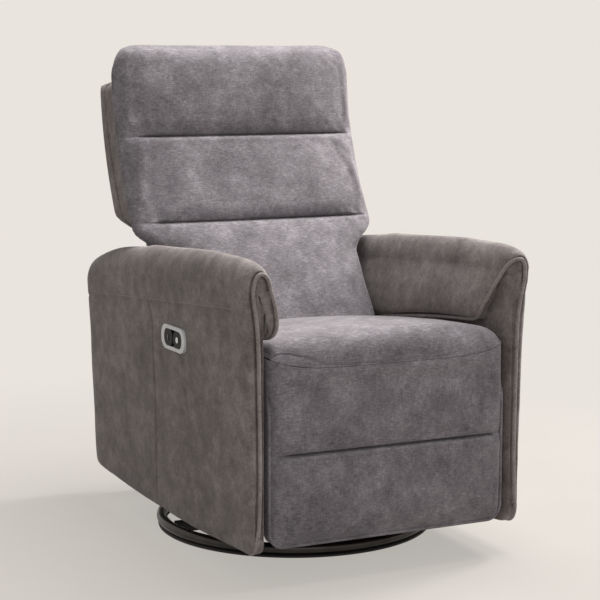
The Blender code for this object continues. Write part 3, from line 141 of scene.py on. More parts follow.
bpy.ops.mesh.primitive_plane_add(size=FLOOR_SIZE)
floor = bpy.context.object
floor.name = "floor"
material, nodes, links, shader = node_material("pale_floor")
tone = wear_noise(nodes, links, 3.0)
links.new(
    ramp(nodes, links, tone, ((0.3, linear(*FLOOR_DARK)), (0.7, linear(*FLOOR_LIGHT)))),
    shader.inputs["Base Color"],
)
shader.inputs["Roughness"].default_value = 0.85
place = nodes.new("ShaderNodeTexCoord")
reach = nodes.new("ShaderNodeVectorMath")
reach.operation = "LENGTH"
links.new(place.outputs["Object"], reach.inputs[0])
away = nodes.new("ShaderNodeMapRange")
away.interpolation_type = "SMOOTHSTEP"
away.inputs["From Min"].default_value = FLOOR_CLEAR[0]
away.inputs["From Max"].default_value = FLOOR_CLEAR[1]
away.inputs["To Min"].default_value = FLOOR_VEIL
links.new(reach.outputs["Value"], away.inputs["Value"])
share = nodes.new("ShaderNodeMath")
share.operation = "MULTIPLY"
links.new(away.outputs["Result"], share.inputs[0])
links.new(seen_share(nodes, links), share.inputs[1])
glow = nodes.new("ShaderNodeEmission")
glow.inputs["Color"].default_value = (*linear(*PALE), 1)
mixed = nodes.new("ShaderNodeMixShader")
links.new(share.outputs["Value"], mixed.inputs["Fac"])
links.new(shader.outputs["BSDF"], mixed.inputs[1])
links.new(glow.outputs["Emission"], mixed.inputs[2])
links.new(mixed.outputs["Shader"], nodes["Material Output"].inputs["Surface"])
floor.data.materials.append(material)


def soft_lamp(name, place, aim, size, power, colour):
    """A square area lamp turned to a point."""
    bpy.ops.object.light_add(type="AREA", location=place)
    lamp = bpy.context.object
    lamp.name = name
    lamp.data.size = size
    lamp.data.energy = power
    lamp.data.color = colour
    lamp.rotation_euler = (Vector(aim) - Vector(place)).to_track_quat("-Z", "Y").to_euler()


soft_lamp("lamp_window", (3.2, 0.5, 2.9), (0, 0, 0.55), 0.9, 150, (1.0, 0.975, 0.95))
soft_lamp("lamp_overhead", (0.8, 0.0, 3.0), (0, 0, 0.4), 2.0, 108, (1.0, 0.99, 0.98))
soft_lamp("lamp_fill", (-1.5, -3.9, 1.7), (0, 0, 0.5), 2.6, 26, (0.98, 0.98, 1.0))
world = bpy.data.worlds.new("room")
bpy.context.scene.world = world
world.use_nodes = True
nodes, links = world.node_tree.nodes, world.node_tree.links
room = nodes["Background"]
room.inputs["Color"].default_value = (*ROOM_TONE, 1)
room.inputs["Strength"].default_value = ROOM_STRENGTH
ground = nodes.new("ShaderNodeBackground")
ground.inputs["Color"].default_value = (*linear(*PALE), 1)
mixed = nodes.new("ShaderNodeMixShader")
links.new(seen_share(nodes, links), mixed.inputs["Fac"])
links.new(room.outputs["Background"], mixed.inputs[1])
links.new(ground.outputs["Background"], mixed.inputs[2])
links.new(mixed.outputs["Shader"], nodes["World Output"].inputs["Surface"])


# Base: a bent steel tube closed to a ring, in a dark satin coat, on a thin black glide that
# spares the floor. A pressed cross and two turning plates stand in it, all in black coated steel.
RING_RADIUS = 0.285
RING_TUBE = 0.011
RING_HEIGHT = 0.0193
GLIDE_HALF_WIDTH = 0.008
GLIDE_HEIGHT = 0.008
RING_SEGMENTS = 144


def coated_steel(name, dark, light, rough, metal, grain):
    """Coated or plated steel with a faint orange peel and uneven gloss."""
    material, nodes, links, shader = node_material(name)
    patches = wear_noise(nodes, links, 22.0, detail=6.0)
    links.new(ramp(nodes, links, patches, ((0.3, dark), (0.75, light))), shader.inputs["Base Color"])
    gloss = nodes.new("ShaderNodeMapRange")
    gloss.inputs["To Min"].default_value = rough - 0.10
    gloss.inputs["To Max"].default_value = rough + 0.12
    links.new(wear_noise(nodes, links, 60.0), gloss.inputs["Value"])
    links.new(gloss.outputs["Result"], shader.inputs["Roughness"])
    shader.inputs["Metallic"].default_value = metal
    peel = nodes.new("ShaderNodeBump")
    peel.inputs["Strength"].default_value = 0.12
    peel.inputs["Distance"].default_value = 0.0004
    links.new(wear_noise(nodes, links, grain), peel.inputs["Height"])
    links.new(peel.outputs["Normal"], shader.inputs["Normal"])
    return material


def dress(piece, material, body, slot, *replaced):
    """Gives a piece its material, the body it moves with and the nodes it stands for; the slot argument
    is not used.
    """
    piece.data.materials.clear()
    piece.data.materials.append(material)
    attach(piece, body)
    if replaced:
        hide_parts(*replaced)


def recoat(material, *names):
    """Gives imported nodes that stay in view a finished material."""
    for name in names:
        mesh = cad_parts[name].data
        mesh.materials.clear()
        mesh.materials.append(material)


ring_steel = coated_steel("ring_coat", linear(52, 50, 49), linear(74, 71, 69), 0.32, 0.9, 900.0)
black_steel = coated_steel("black_coat", linear(24, 24, 25), linear(38, 37, 37), 0.48, 0.35, 1400.0)
zinc_steel = coated_steel("zinc_plate", linear(132, 131, 126), linear(171, 169, 160), 0.36, 1.0, 700.0)

bpy.ops.mesh.primitive_torus_add(
    location=(0, 0, RING_HEIGHT), major_radius=RING_RADIUS, minor_radius=RING_TUBE,
    major_segments=RING_SEGMENTS, minor_segments=24,
)
ring = bpy.context.object
ring.name = "base_ring_tube"
bpy.ops.object.transform_apply(location=True, rotation=True, scale=True)
bpy.ops.object.shade_smooth()
dress(ring, ring_steel, "base", "ring_steel", "base_ring")

material, nodes, links, shader = node_material("glide_rubber")
scuffs = wear_noise(nodes, links, 40.0)
links.new(
    ramp(nodes, links, scuffs, ((0.3, linear(20, 20, 20)), (0.7, linear(33, 32, 31)))),
    shader.inputs["Base Color"],
)
shader.inputs["Roughness"].default_value = 0.7
bpy.ops.mesh.primitive_torus_add(
    location=(0, 0, 0), major_radius=RING_RADIUS, minor_radius=GLIDE_HALF_WIDTH,
    major_segments=RING_SEGMENTS, minor_segments=16,
)
glide = bpy.context.object
glide.name = "base_glide"
glide.scale = (1, 1, GLIDE_HEIGHT / (2 * GLIDE_HALF_WIDTH))
glide.location = (0, 0, GLIDE_HEIGHT / 2)
bpy.ops.object.transform_apply(location=True, rotation=True, scale=True)
bpy.ops.object.shade_smooth()
dress(glide, material, "base", "black_plastic", "base_glide_ring")

recoat(black_steel, "base_cross", "swivel_lower_plate", "swivel_upper_plate")
recoat(zinc_steel, "swivel_ball_race", "swivel_bolt")


# Rocker and mechanism: folded steel rails, four coil springs, plates and scissor links of flat bar,
# and the electric drive on its rail. Hidden until the chair opens.
SPRING_WIRE = 0.0024
SPRING_CURLS = 4
SPRING_STEPS = 60

spring_steel = coated_steel("spring_wire", linear(58, 56, 55), linear(96, 93, 90), 0.38, 0.95, 800.0)
recoat(
    black_steel, "rocker_rail_left", "rocker_rail_right", "chassis_front_rail",
    "chassis_rear_rail", "mechanism_plate_left", "mechanism_plate_right",
    "back_hinge_bracket_left", "back_hinge_bracket_right", "footrest_rear_links",
    "footrest_front_link_left", "footrest_front_link_right", "footrest_upper_link_left",
    "footrest_upper_link_right", "footrest_lower_link_left", "footrest_lower_link_right",
    "footrest_bracket_left", "footrest_bracket_right",
)
recoat(spring_steel, "seat_spring_1", "seat_spring_2", "seat_spring_3")
recoat(zinc_steel, "actuator_rail")


def only(piece):
    """Selects one piece and nothing else."""
    bpy.ops.object.select_all(action="DESELECT")
    piece.select_set(True)
    bpy.context.view_layer.objects.active = piece


def welt(name, path, radius):
    """A round wire or a cord of piping that follows a path of points."""
    curve = bpy.data.curves.new(name, "CURVE")
    curve.dimensions = "3D"
    curve.bevel_depth = radius
    curve.bevel_resolution = 3
    curve.use_fill_caps = True
    spline = curve.splines.new("POLY")
    spline.points.add(len(path) - 1)
    for point, place in zip(spline.points, path):
        point.co = (*[float(p) for p in place], 1)
    piece = bpy.data.objects.new(name, curve)
    bpy.context.scene.collection.objects.link(piece)
    only(piece)
    bpy.ops.object.convert(target="MESH")
    bpy.ops.object.shade_smooth()
    return piece


for name in (
    "rocker_spring_left_front", "rocker_spring_left_rear",
    "rocker_spring_right_front", "rocker_spring_right_rear",
):
    low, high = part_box(name)
    middle = (low + high) / 2
    radius = (high.x - low.x) / 2 - SPRING_WIRE
    rise = np.linspace(low.z + SPRING_WIRE, high.z - SPRING_WIRE, SPRING_STEPS)
    turn = np.linspace(0, 2 * np.pi * SPRING_CURLS, SPRING_STEPS)
    path = np.stack((middle.x + radius * np.cos(turn), middle.y + radius * np.sin(turn), rise), axis=1)
    coil = welt(name.replace("spring", "coil"), path, SPRING_WIRE)
    coil.data.materials.append(spring_steel)
    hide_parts(name)
    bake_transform(coil)


def moulded_plastic(name, dark, light, rough):
    """Moulded plastic with a fine spark-eroded grain."""
    material, nodes, links, shader = node_material(name)
    patches = wear_noise(nodes, links, 35.0)
    links.new(ramp(nodes, links, patches, ((0.3, dark), (0.7, light))), shader.inputs["Base Color"])
    shader.inputs["Roughness"].default_value = rough
    grain = nodes.new("ShaderNodeBump")
    grain.inputs["Strength"].default_value = 0.15
    grain.inputs["Distance"].default_value = 0.0002
    links.new(wear_noise(nodes, links, 1800.0), grain.inputs["Height"])
    links.new(grain.outputs["Normal"], shader.inputs["Normal"])
    return material


black_plastic = moulded_plastic("black_moulding", linear(17, 17, 18), linear(27, 27, 28), 0.42)
recoat(black_plastic, "actuator_motor", "actuator_carriage")


# Timber: sawn hardwood rails of the seat, arms and back, glued and screwed at their corners, the
# two curved rocker cams and the ply board of the footrest.
material, nodes, links, shader = node_material("sawn_hardwood")
rings = wear_noise(nodes, links, 6.0, stretch=(3, 3, 14), detail=8.0)
links.new(
    ramp(nodes, links, rings, (
        (0.25, linear(150, 112, 74)), (0.5, linear(186, 147, 103)), (0.8, linear(205, 170, 126)),
    )),
    shader.inputs["Base Color"],
)
shader.inputs["Roughness"].default_value = 0.72
saw_marks = nodes.new("ShaderNodeBump")
saw_marks.inputs["Strength"].default_value = 0.25
saw_marks.inputs["Distance"].default_value = 0.0006
links.new(wear_noise(nodes, links, 160.0, stretch=(1, 1, 6)), saw_marks.inputs["Height"])
links.new(saw_marks.outputs["Normal"], shader.inputs["Normal"])
recoat(
    material, "arm_rail_left", "arm_rail_right", "seat_rail_left", "seat_rail_right",
    "seat_rail_front", "seat_rail_rear", "back_upright_left", "back_upright_right",
    "back_rail_bottom", "back_rail_top", "footrest_board", "rocker_cam_left", "rocker_cam_right",
)


# Seat: a crowned foam cushion in grey chenille whose front rolls over into the footrest's pad.
# Its cover ends in a topstitched seam that sags in a shallow curve across the front.
SEAT_HALF = 0.2525
SEAT_LOW = 0.3458
SEAT_EDGE = 0.452
SEAT_CROWN = 0.030
SEAT_REAR_FALL = 0.040
SEAT_SIDE_ROUND = 0.024
NOSE_Y = -0.4440
NOSE_LOW = 0.4170
NOSE_ROUND = 0.048
SEAT_FRONT_ROUND = 0.016
NOSE_RECESS = 0.016
SEAM_LIFT = 0.020
SEAT_TO_BACK = 0.0825
BACK_TOP_Z = 0.9998
BACK_TOP_Y = 0.326
BACK_CURVE = 0.856
BACK_BEND = 0.38
CLOTH_FRAMES = 20


def back_line(z):
    """Y of the line that the back's frame follows, curved above and straight below."""
    drop = BACK_TOP_Z - z
    return (
        BACK_TOP_Y - BACK_CURVE * np.minimum(drop, BACK_BEND) ** 2
        - 2 * BACK_CURVE * BACK_BEND * np.maximum(0, drop - BACK_BEND)
    )


def spread(low, high, count):
    """The places that cut a length into so many even slices."""
    return np.linspace(low, high, count + 1)[1:-1]


def block(name, low, high, cuts):
    """A cube of given corners, cut across at the places listed along x, y and z."""
    bpy.ops.object.select_all(action="DESELECT")
    bpy.ops.mesh.primitive_cube_add(size=1, location=[(a + b) / 2 for a, b in zip(low, high)])
    piece = bpy.context.object
    piece.name = name
    piece.scale = [b - a for a, b in zip(low, high)]
    bpy.ops.object.transform_apply(location=True, rotation=True, scale=True)
    bpy.ops.object.mode_set(mode="EDIT")
    for axis in range(3):
        normal = [float(axis == k) for k in range(3)]
        for place in cuts[axis]:
            bpy.ops.mesh.select_all(action="SELECT")
            bpy.ops.mesh.bisect(plane_co=[place * n for n in normal], plane_no=normal)
    bpy.ops.object.mode_set(mode="OBJECT")
    return piece


def points_of(piece):
    """The piece's points as three arrays."""
    places = np.empty(len(piece.data.vertices) * 3)
    piece.data.vertices.foreach_get("co", places)
    return places.reshape(-1, 3).T


def set_points(piece, places):
    """Moves the piece's points to three arrays."""
    piece.data.vertices.foreach_set("co", np.stack(places, axis=1).ravel())
    piece.data.update()


def rounded(first, second, radius):
    """Depths in from two faces that meet at an edge, with that edge drawn in to a quarter round."""
    lean_first = np.clip(1 - first / radius, 0, None)
    lean_second = np.clip(1 - second / radius, 0, None)
    draw = 1 - 1 / np.maximum(np.hypot(lean_first, lean_second), 1)
    return first + radius * lean_first * draw, second + radius * lean_second * draw


def plump(across, power):
    """A padded height over -1 to 1: flat in the middle, drawn in at the ends."""
    return np.clip(1 - np.abs(across) ** power, 0, 1) ** 0.6


def ripple(x, y, z, step):
    """Smooth noise of about plus and minus one, with waves of the given step in metres."""
    return np.array([noise.noise(Vector(p) / step) for p in zip(x, y, z)]) * 1.6


def apply_modifier(piece, kind, **settings):
    """Adds a modifier with its settings and applies it."""
    only(piece)
    modifier = piece.modifiers.new(kind.lower(), kind)
    for setting, value in settings.items():
        setattr(modifier, setting, value)
    bpy.ops.object.modifier_apply(modifier=modifier.name)


def fill(piece, held, pressure, cap, grow=0.0):
    """Blows the cover up as cloth round its filling, with the held points fixed."""
    start = np.array(points_of(piece))
    group = piece.vertex_groups.new(name="held")
    group.add([int(i) for i in np.flatnonzero(held)], 1.0, "REPLACE")
    cloth = piece.modifiers.new("filling", "CLOTH")
    cloth.settings.vertex_group_mass = "held"
    cloth.settings.quality = 5
    cloth.settings.use_pressure = True
    cloth.settings.uniform_pressure_force = pressure
    cloth.settings.shrink_min = -grow
    cloth.settings.effector_weights.gravity = 0
    cloth.point_cache.frame_start = 1
    cloth.point_cache.frame_end = CLOTH_FRAMES
    for step in range(1, CLOTH_FRAMES + 1):
        bpy.context.scene.frame_set(step)
    only(piece)
    bpy.ops.object.modifier_apply(modifier=cloth.name)
    bpy.context.scene.frame_set(1)
    moved = np.array(points_of(piece)) - start
    length = np.maximum(np.linalg.norm(moved, axis=0), 1e-9)
    set_points(piece, start + moved * np.minimum(1, cap / length))
    piece.vertex_groups.clear()


def chenille(name, dark, middle, light, streak, weave, cross, thread_share):
    """Brushed chenille: cloudy nap, short streaks, fine yarns both ways, soft sheen and fuzz."""
    material, nodes, links, shader = node_material(name)
    clouds = wear_noise(nodes, links, 8.0, detail=7.0, roughness=0.65)
    streaks = wear_noise(nodes, links, 1.0, stretch=streak, detail=6.0, roughness=0.7)
    yarn = wear_noise(nodes, links, 1.0, stretch=weave, detail=2.0)
    cross_yarn = wear_noise(nodes, links, 1.0, stretch=cross, detail=2.0)
    nap = nodes.new("ShaderNodeMix")
    nap.inputs["Factor"].default_value = 0.55
    links.new(clouds, nap.inputs[2])
    links.new(streaks, nap.inputs[3])
    threads = nodes.new("ShaderNodeMix")
    threads.inputs["Factor"].default_value = 0.4
    links.new(yarn, threads.inputs[2])
    links.new(cross_yarn, threads.inputs[3])
    blend = nodes.new("ShaderNodeMix")
    blend.inputs["Factor"].default_value = thread_share
    links.new(nap.outputs[0], blend.inputs[2])
    links.new(threads.outputs[0], blend.inputs[3])
    links.new(
        ramp(nodes, links, blend.outputs[0], ((0.38, dark), (0.5, middle), (0.63, light))),
        shader.inputs["Base Color"],
    )
    shader.inputs["Roughness"].default_value = 0.92
    shader.inputs["Specular IOR Level"].default_value = 0.2
    shader.inputs["Sheen Weight"].default_value = 0.30
    shader.inputs["Sheen Roughness"].default_value = 0.45
    shader.inputs["Sheen Tint"].default_value = (0.80, 0.78, 0.79, 1)
    pile = nodes.new("ShaderNodeBump")
    pile.inputs["Strength"].default_value = 0.45
    pile.inputs["Distance"].default_value = 0.0010
    links.new(threads.outputs[0], pile.inputs["Height"])
    brushed = nodes.new("ShaderNodeBump")
    brushed.inputs["Strength"].default_value = 0.12
    brushed.inputs["Distance"].default_value = 0.0025
    links.new(nap.outputs[0], brushed.inputs["Height"])
    links.new(pile.outputs["Normal"], brushed.inputs["Normal"])
    links.new(brushed.outputs["Normal"], shader.inputs["Normal"])
    return material


def stitches(name, path, outward, pitch=0.0075, long=0.0050, thick=0.0006):
    """A row of lockstitches laid along a path, each a short rounded thread."""
    path = np.array(path, float)
    run = np.concatenate(([0], np.cumsum(np.linalg.norm(np.diff(path, axis=0), axis=1))))
    bpy.ops.object.select_all(action="DESELECT")
    bpy.ops.mesh.primitive_uv_sphere_add(segments=6, ring_count=4, radius=1)
    one = bpy.context.object
    shape = np.array([v.co for v in one.data.vertices])
    faces = [tuple(f.vertices) for f in one.data.polygons]
    bpy.data.objects.remove(one)
    places, corners = [], []
    for start in np.arange(pitch / 2, run[-1] - pitch / 2, pitch):
        ends = [
            np.array([np.interp(s, run, path[:, k]) for k in range(3)]) for s in (start, start + long)
        ]
        along = (ends[1] - ends[0]) / 2
        across = np.cross(along, outward)
        across = across / max(np.linalg.norm(across), 1e-9) * thick
        up = np.cross(across, along)
        up = up / max(np.linalg.norm(up), 1e-9) * thick
        base = len(places)
        middle = (ends[0] + ends[1]) / 2
        places.extend(middle + s[2] * along + s[0] * across + s[1] * up for s in shape)
        corners.extend(tuple(base + i for i in f) for f in faces)
    mesh = bpy.data.meshes.new(name)
    mesh.from_pydata(places, [], corners)
    piece = bpy.data.objects.new(name, mesh)
    bpy.context.scene.collection.objects.link(piece)
    only(piece)
    bpy.ops.object.mode_set(mode="EDIT")
    bpy.ops.mesh.select_all(action="SELECT")
    bpy.ops.mesh.normals_make_consistent(inside=False)
    bpy.ops.object.mode_set(mode="OBJECT")
    bpy.ops.object.shade_smooth()
    return piece


body_fabric = chenille(
    "body_chenille", linear(82, 78, 81), linear(115, 110, 114), linear(152, 147, 151),
    (24, 24, 20), (100, 100, 460), (430, 430, 95), 0.45,
)
body_thread = moulded_plastic("body_thread", linear(112, 108, 110), linear(134, 129, 131), 0.8)

NOSE_SHARE = 0.424
NOSE_STEPS = (0.414, 0.416, 0.418, 0.420, 0.422, NOSE_SHARE)
NOSE_DEPTHS = (0.0865, 0.040, 0.015, 0.005, 0.0015, 0.0)
SEAM_ROW = 0.16
SEAT_ROWS = (0.02, 0.05, SEAM_ROW - 0.025, SEAM_ROW, SEAM_ROW + 0.03, *spread(SEAM_ROW + 0.03, 1, 15))
SEAT_SEAM = (
    (-0.26, 0.461), (-0.23, 0.460), (-0.193, 0.442), (-0.149, 0.4245), (-0.10, 0.4210),
    (0.0, 0.4205), (0.09, 0.4205), (0.13, 0.4250), (0.18, 0.4360), (0.26, 0.4480),
)
SEAM_CLEAR = 0.003
SEAM_DEEP = 0.0026
SEAM_FALL = 0.4
SEAM_FADE_X = 0.16
SEAM_FADE_LONG = 0.06
SEAT_CROWN_POWER = 2.6
SEAT_FALL_POWER = 1.5
NOSE_POWER = 6
ON_ROW = 0.004
FRONT_ROW = 0.002
SEAT_HELD_FRONT = 0.3
SEAT_HELD_RISE = 0.05
SEAT_HELD_REAR = 0.97
SEAT_PRESSURE = 2.0
SEAT_GIVE = 0.006
SEAT_WAVES = ((0.0016, 0.11), (0.0006, 0.04))
SEAT_WAVES_LOW = 0.43
SEAT_WAVES_RISE = 0.04
SEAT_WAVES_FRONT = 0.004
SEAT_WAVES_LONG = 0.03
TOPSTITCH_SPAN = (-0.245, 0.13)
TOPSTITCH_RISE = 0.0055
THREAD_LIFT = 0.0002

seat = block("seat_cover", (-1, 0, 0), (1, 1, 1), (
    spread(-1, 1, 64), (0.004, 0.012, *spread(0, 1, 44)),
    (*spread(0, NOSE_STEPS[0], 3), *NOSE_STEPS, *(NOSE_SHARE + (1 - NOSE_SHARE) * r for r in SEAT_ROWS)),
))
u, v, w = points_of(seat)
under = w < NOSE_SHARE - 0.0005
upper = np.clip((w - NOSE_SHARE) / (1 - NOSE_SHARE), 0, 1)
lower = np.clip(w / NOSE_STEPS[0], 0, 1)
nose_low = NOSE_LOW + SEAM_LIFT * np.abs(u) ** NOSE_POWER
seam = np.interp(SEAT_HALF * u, *zip(*SEAT_SEAM))
seam = np.maximum(seam, nose_low + SEAM_CLEAR)
top = SEAT_EDGE + SEAT_CROWN * plump(u, SEAT_CROWN_POWER) - SEAT_REAR_FALL * v ** SEAT_FALL_POWER
rise = np.where(
    upper < SEAM_ROW, nose_low + (seam - nose_low) * upper / SEAM_ROW,
    seam + (top - seam) * (upper - SEAM_ROW) / (1 - SEAM_ROW),
)
z = np.where(under, SEAT_LOW + (nose_low - SEAT_LOW) * lower, rise)
front = NOSE_Y + NOSE_RECESS * np.abs(u) ** NOSE_POWER + np.interp(w, NOSE_STEPS, NOSE_DEPTHS)
y = front + (back_line(z) - SEAT_TO_BACK - front) * v
depth, down = rounded(y - front, top - z, NOSE_ROUND)
y, z = np.where(under, y, front + depth), np.where(under, z, top - down)
inset, down = rounded(SEAT_HALF * (1 - np.abs(u)), top - z, SEAT_SIDE_ROUND)
inset, depth = rounded(inset, y - front, SEAT_FRONT_ROUND)
x = np.sign(u) * (SEAT_HALF - inset)
y, z = np.where(under, y, front + depth), np.where(under, z, top - down)
sewn = (np.abs(upper - SEAM_ROW) < ON_ROW) & (v < FRONT_ROW)
fade = np.clip((SEAM_FADE_X - x) / SEAM_FADE_LONG, 0, 1)
set_points(seat, (x, y + SEAM_DEEP * sewn * fade, z - SEAM_FALL * SEAM_DEEP * sewn * fade))
order = np.argsort(x[sewn])
seam_path = np.stack((x[sewn], y[sewn], z[sewn]), axis=1)[order]
held_front = (v < SEAT_HELD_FRONT) & (upper < SEAM_ROW + SEAT_HELD_RISE)
fill(seat, under | held_front | (v > SEAT_HELD_REAR), SEAT_PRESSURE, SEAT_GIVE)
apply_modifier(seat, "SUBSURF", levels=1, render_levels=1)
x, y, z = points_of(seat)
top_only = np.clip((z - SEAT_WAVES_LOW) / SEAT_WAVES_RISE, 0, 1)
behind_nose = np.clip((y - NOSE_Y - SEAT_WAVES_FRONT) / SEAT_WAVES_LONG, 0, 1)
soft = sum(deep * ripple(x, y, z, step) for deep, step in SEAT_WAVES)
set_points(seat, (x, y, z + top_only * soft * behind_nose))
only(seat)
bpy.ops.object.shade_smooth()
dress(seat, body_fabric, "chassis", "body_fabric", "seat_cushion")


def drop_on(piece, path, along, lift, start=0.1):
    """Moves the points of a path onto a piece along a direction, and a little out of it."""
    placed = []
    for point in path:
        hit, place, normal, _ = piece.ray_cast(Vector(point) - start * Vector(along), Vector(along))
        placed.append(place + normal * lift if hit else Vector(point))
    return placed


stitched = (seam_path[:, 0] > TOPSTITCH_SPAN[0]) & (seam_path[:, 0] < TOPSTITCH_SPAN[1])
path = seam_path[stitched] + (0, 0, TOPSTITCH_RISE)
row = stitches("seat_topstitch", drop_on(seat, path, (0, 1, 0), THREAD_LIFT), (0, -1, 0))
dress(row, body_thread, "chassis", "body_fabric")


# Footrest: a board padded in two panels that hangs below the seat's front, in the seat's chenille,
# pulled tight over the board, with one sewn channel across it and a welt down its sides and foot.
PAD_HALF = 0.2565
PAD_LOW = 0.0752
PAD_TOP = 0.4166
PAD_CHANNEL = 0.2528
PAD_BACK = -0.3875
PAD_EDGE = 0.022
PAD_CORNER = 0.030
PAD_SIDE_POWER = 9
CHANNEL_SHALLOW = 0.047
CHANNEL_SEAM = 0.003
CHANNEL_NEAR = 0.15
PAD_CHANNEL_END = (0.10, 0.8)
COVER_HELD = 0.3
PAD_HELD_CHANNEL = 0.045
PAD_HELD_TOP = 1.93
PAD_HELD_FOOT = 0.02
PAD_HELD_SIDE = 0.93
PAD_PRESSURE = 2.5
PAD_GIVE = 0.005
PAD_GROW = 0.006
FACE_START = 0.02
FACE_LONG = 0.01
PAD_ENDS = (0.14, 0.07)
PAD_FOLDS = (0.0004, 0.0026)
PAD_GATHERS = (0.016, 0.015, 0.7)
PAD_WAVES = (0.0012, 0.09)
PAD_WAVES_TOP = 0.02
WELT = 0.0030
PAD_WELT = 0.0034
PAD_WELT_TOP = 0.006
PAD_WELT_AHEAD = 0.030
PAD_WELT_DRAW = 0.994
PAD_WELT_RISE = 0.0005
TUCK = 0.016
TUCK_START = 0.10
TUCK_LONG = 0.08
TUCK_FALL = 0.3
TUCK_DRAW = 0.5
LOWER_SHARE = (0, 0.03, 0.08, 0.16, 0.3, 0.5, 0.7, 0.85, 0.93, 0.975, 0.99, 1)
LOWER_DEPTH = (0.026, 0.037, 0.0455, 0.052, 0.0565, 0.058, 0.0578, 0.0572, 0.056, 0.053, 0.047, 0.020)
UPPER_SHARE = (0, 0.01, 0.03, 0.08, 0.16, 0.3, 0.5, 0.7, 0.85, 1)
UPPER_DEPTH = (0.020, 0.042, 0.0480, 0.0525, 0.0555, 0.0572, 0.0578, 0.0576, 0.057, 0.0565)


def smooth(share):
    """A share from 0 to 1 eased at both ends."""
    share = np.clip(share, 0, 1)
    return share ** 2 * (3 - 2 * share)


pad = block("footrest_cover", (-1, 0, 0), (1, 1, 2), (
    spread(-1, 1, 68), spread(0, 1, 6),
    (
        0.012, *LOWER_SHARE[1:4], *spread(0.16, 0.93, 18), *LOWER_SHARE[8:],
        *(1 + s for s in UPPER_SHARE[1:5]), *spread(1.16, 1.98, 18), 1.98, 1.99, 1.996,
    ),
))
u, v, share = points_of(pad)
z = np.interp(share, (0, 1, 2), (PAD_LOW, PAD_CHANNEL, PAD_TOP))
thick = np.where(
    share > 1, np.interp(share - 1, UPPER_SHARE, UPPER_DEPTH), np.interp(share, LOWER_SHARE, LOWER_DEPTH),
)
gap = np.abs(share - 1)
inward = smooth((1 - np.abs(u)) / PAD_CHANNEL_END[0] - PAD_CHANNEL_END[1])
shallow = np.maximum(thick, CHANNEL_SHALLOW) - CHANNEL_SEAM * (gap < ON_ROW)
thick = np.where(gap < CHANNEL_NEAR, shallow + (thick - shallow) * inward, thick)
thick = PAD_EDGE + (thick - PAD_EDGE) * plump(u, PAD_SIDE_POWER)
lift = SEAM_LIFT * np.abs(u) ** NOSE_POWER * np.clip((z - PAD_CHANNEL) / (PAD_TOP - PAD_CHANNEL), 0, 1)
inset, rise = rounded(PAD_HALF * (1 - np.abs(u)), z - PAD_LOW, PAD_CORNER)
set_points(pad, (np.sign(u) * (PAD_HALF - inset), PAD_BACK - thick * v, PAD_LOW + rise + lift))
held = (v < COVER_HELD) | (gap < PAD_HELD_CHANNEL) | (np.abs(u) > PAD_HELD_SIDE)
held |= (share > PAD_HELD_TOP) | (share < PAD_HELD_FOOT)
fill(pad, held, PAD_PRESSURE, PAD_GIVE, grow=PAD_GROW)
apply_modifier(pad, "SUBSURF", levels=1, render_levels=1)


def gathers(x, z, line, reach, step, slant):
    """Small folds that run away from a sewn line, as plus and minus one, fading with the distance."""
    gap = z - line
    return np.exp(-np.abs(gap) / reach) * ripple(x + slant * gap * np.sign(x), 0 * x, 0.3 * gap, step)


x, y, z = points_of(pad)
face = np.clip((PAD_BACK - FACE_START - y) / FACE_LONG, 0, 1)
ends = smooth((np.abs(x) - PAD_ENDS[0]) / PAD_ENDS[1])
below_top = np.clip((PAD_TOP - PAD_WAVES_TOP - z) / PAD_WAVES_TOP, 0, 1)
fold = (PAD_FOLDS[0] + PAD_FOLDS[1] * ends) * gathers(x, z, PAD_CHANNEL, *PAD_GATHERS)
fold += PAD_WAVES[0] * ripple(x, y, z, PAD_WAVES[1]) * below_top
set_points(pad, (x, y + face * fold, z))
only(pad)
bpy.ops.object.shade_smooth()
dress(pad, body_fabric, "footrest", "body_fabric", "footrest_pad")

turn = np.radians(np.linspace(0, 90, 10))
corner = PAD_HALF - PAD_CORNER
half_path = [(PAD_HALF, h) for h in np.linspace(PAD_TOP - PAD_WELT_TOP, PAD_LOW + PAD_CORNER, 40)]
half_path += [
    (corner + PAD_CORNER * math.sin(t), PAD_LOW + PAD_CORNER * (1 - math.cos(t))) for t in turn[::-1]
]
outline = [(-x, z) for x, z in half_path] + half_path[::-1]
tuck = [TUCK * smooth((z - PAD_TOP + TUCK_START) / TUCK_LONG) for x, z in outline]
path = [(
    x * PAD_WELT_DRAW * (1 - TUCK_DRAW * t),
    PAD_BACK - PAD_WELT_AHEAD + t,
    z + PAD_WELT_RISE - TUCK_FALL * t,
) for (x, z), t in zip(outline, tuck)]
dress(welt("footrest_welt", path, PAD_WELT), body_fabric, "footrest", "body_fabric")


# Rear panel: a plain panel that closes the chair's back below the backrest, a thin board with the
# arms' brushed chenille, in its painted warm tint, pulled taut over it, fixed between the arms.
PANEL_ROUND = 0.006

# The arms' chenille is the seat's grey chenille in a warmer tone. The warmer tone is painted warm room
# light that falls on the arms; its streaks and weave are its own.
arm_fabric = chenille(
    "arm_chenille_painted_warm_light", linear(82, 75, 73), linear(116, 108, 105), linear(148, 140, 137),
    (38, 32, 34), (240, 200, 230), (420, 380, 400), 0.30,
)
low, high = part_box("rear_panel")
panel = block("rear_panel_cover", low, high, (
    spread(low.x, high.x, 24), spread(low.y, high.y, 4), spread(low.z, high.z, 16),
))
x, y, z = points_of(panel)
inset, behind = rounded(high.x - np.abs(x), high.y - y, PANEL_ROUND)
x, y = np.sign(x) * (high.x - inset), high.y - behind
below, behind = rounded(z - low.z, high.y - y, PANEL_ROUND)
z, y = low.z + below, high.y - behind
above, behind = rounded(high.z - z, high.y - y, PANEL_ROUND)
set_points(panel, (x, high.y - behind, high.z - above))
apply_modifier(panel, "SUBSURF", levels=1, render_levels=1, subdivision_type="SIMPLE")
only(panel)
bpy.ops.object.shade_smooth()
dress(panel, arm_fabric, "chassis", "arm_fabric", "rear_panel")


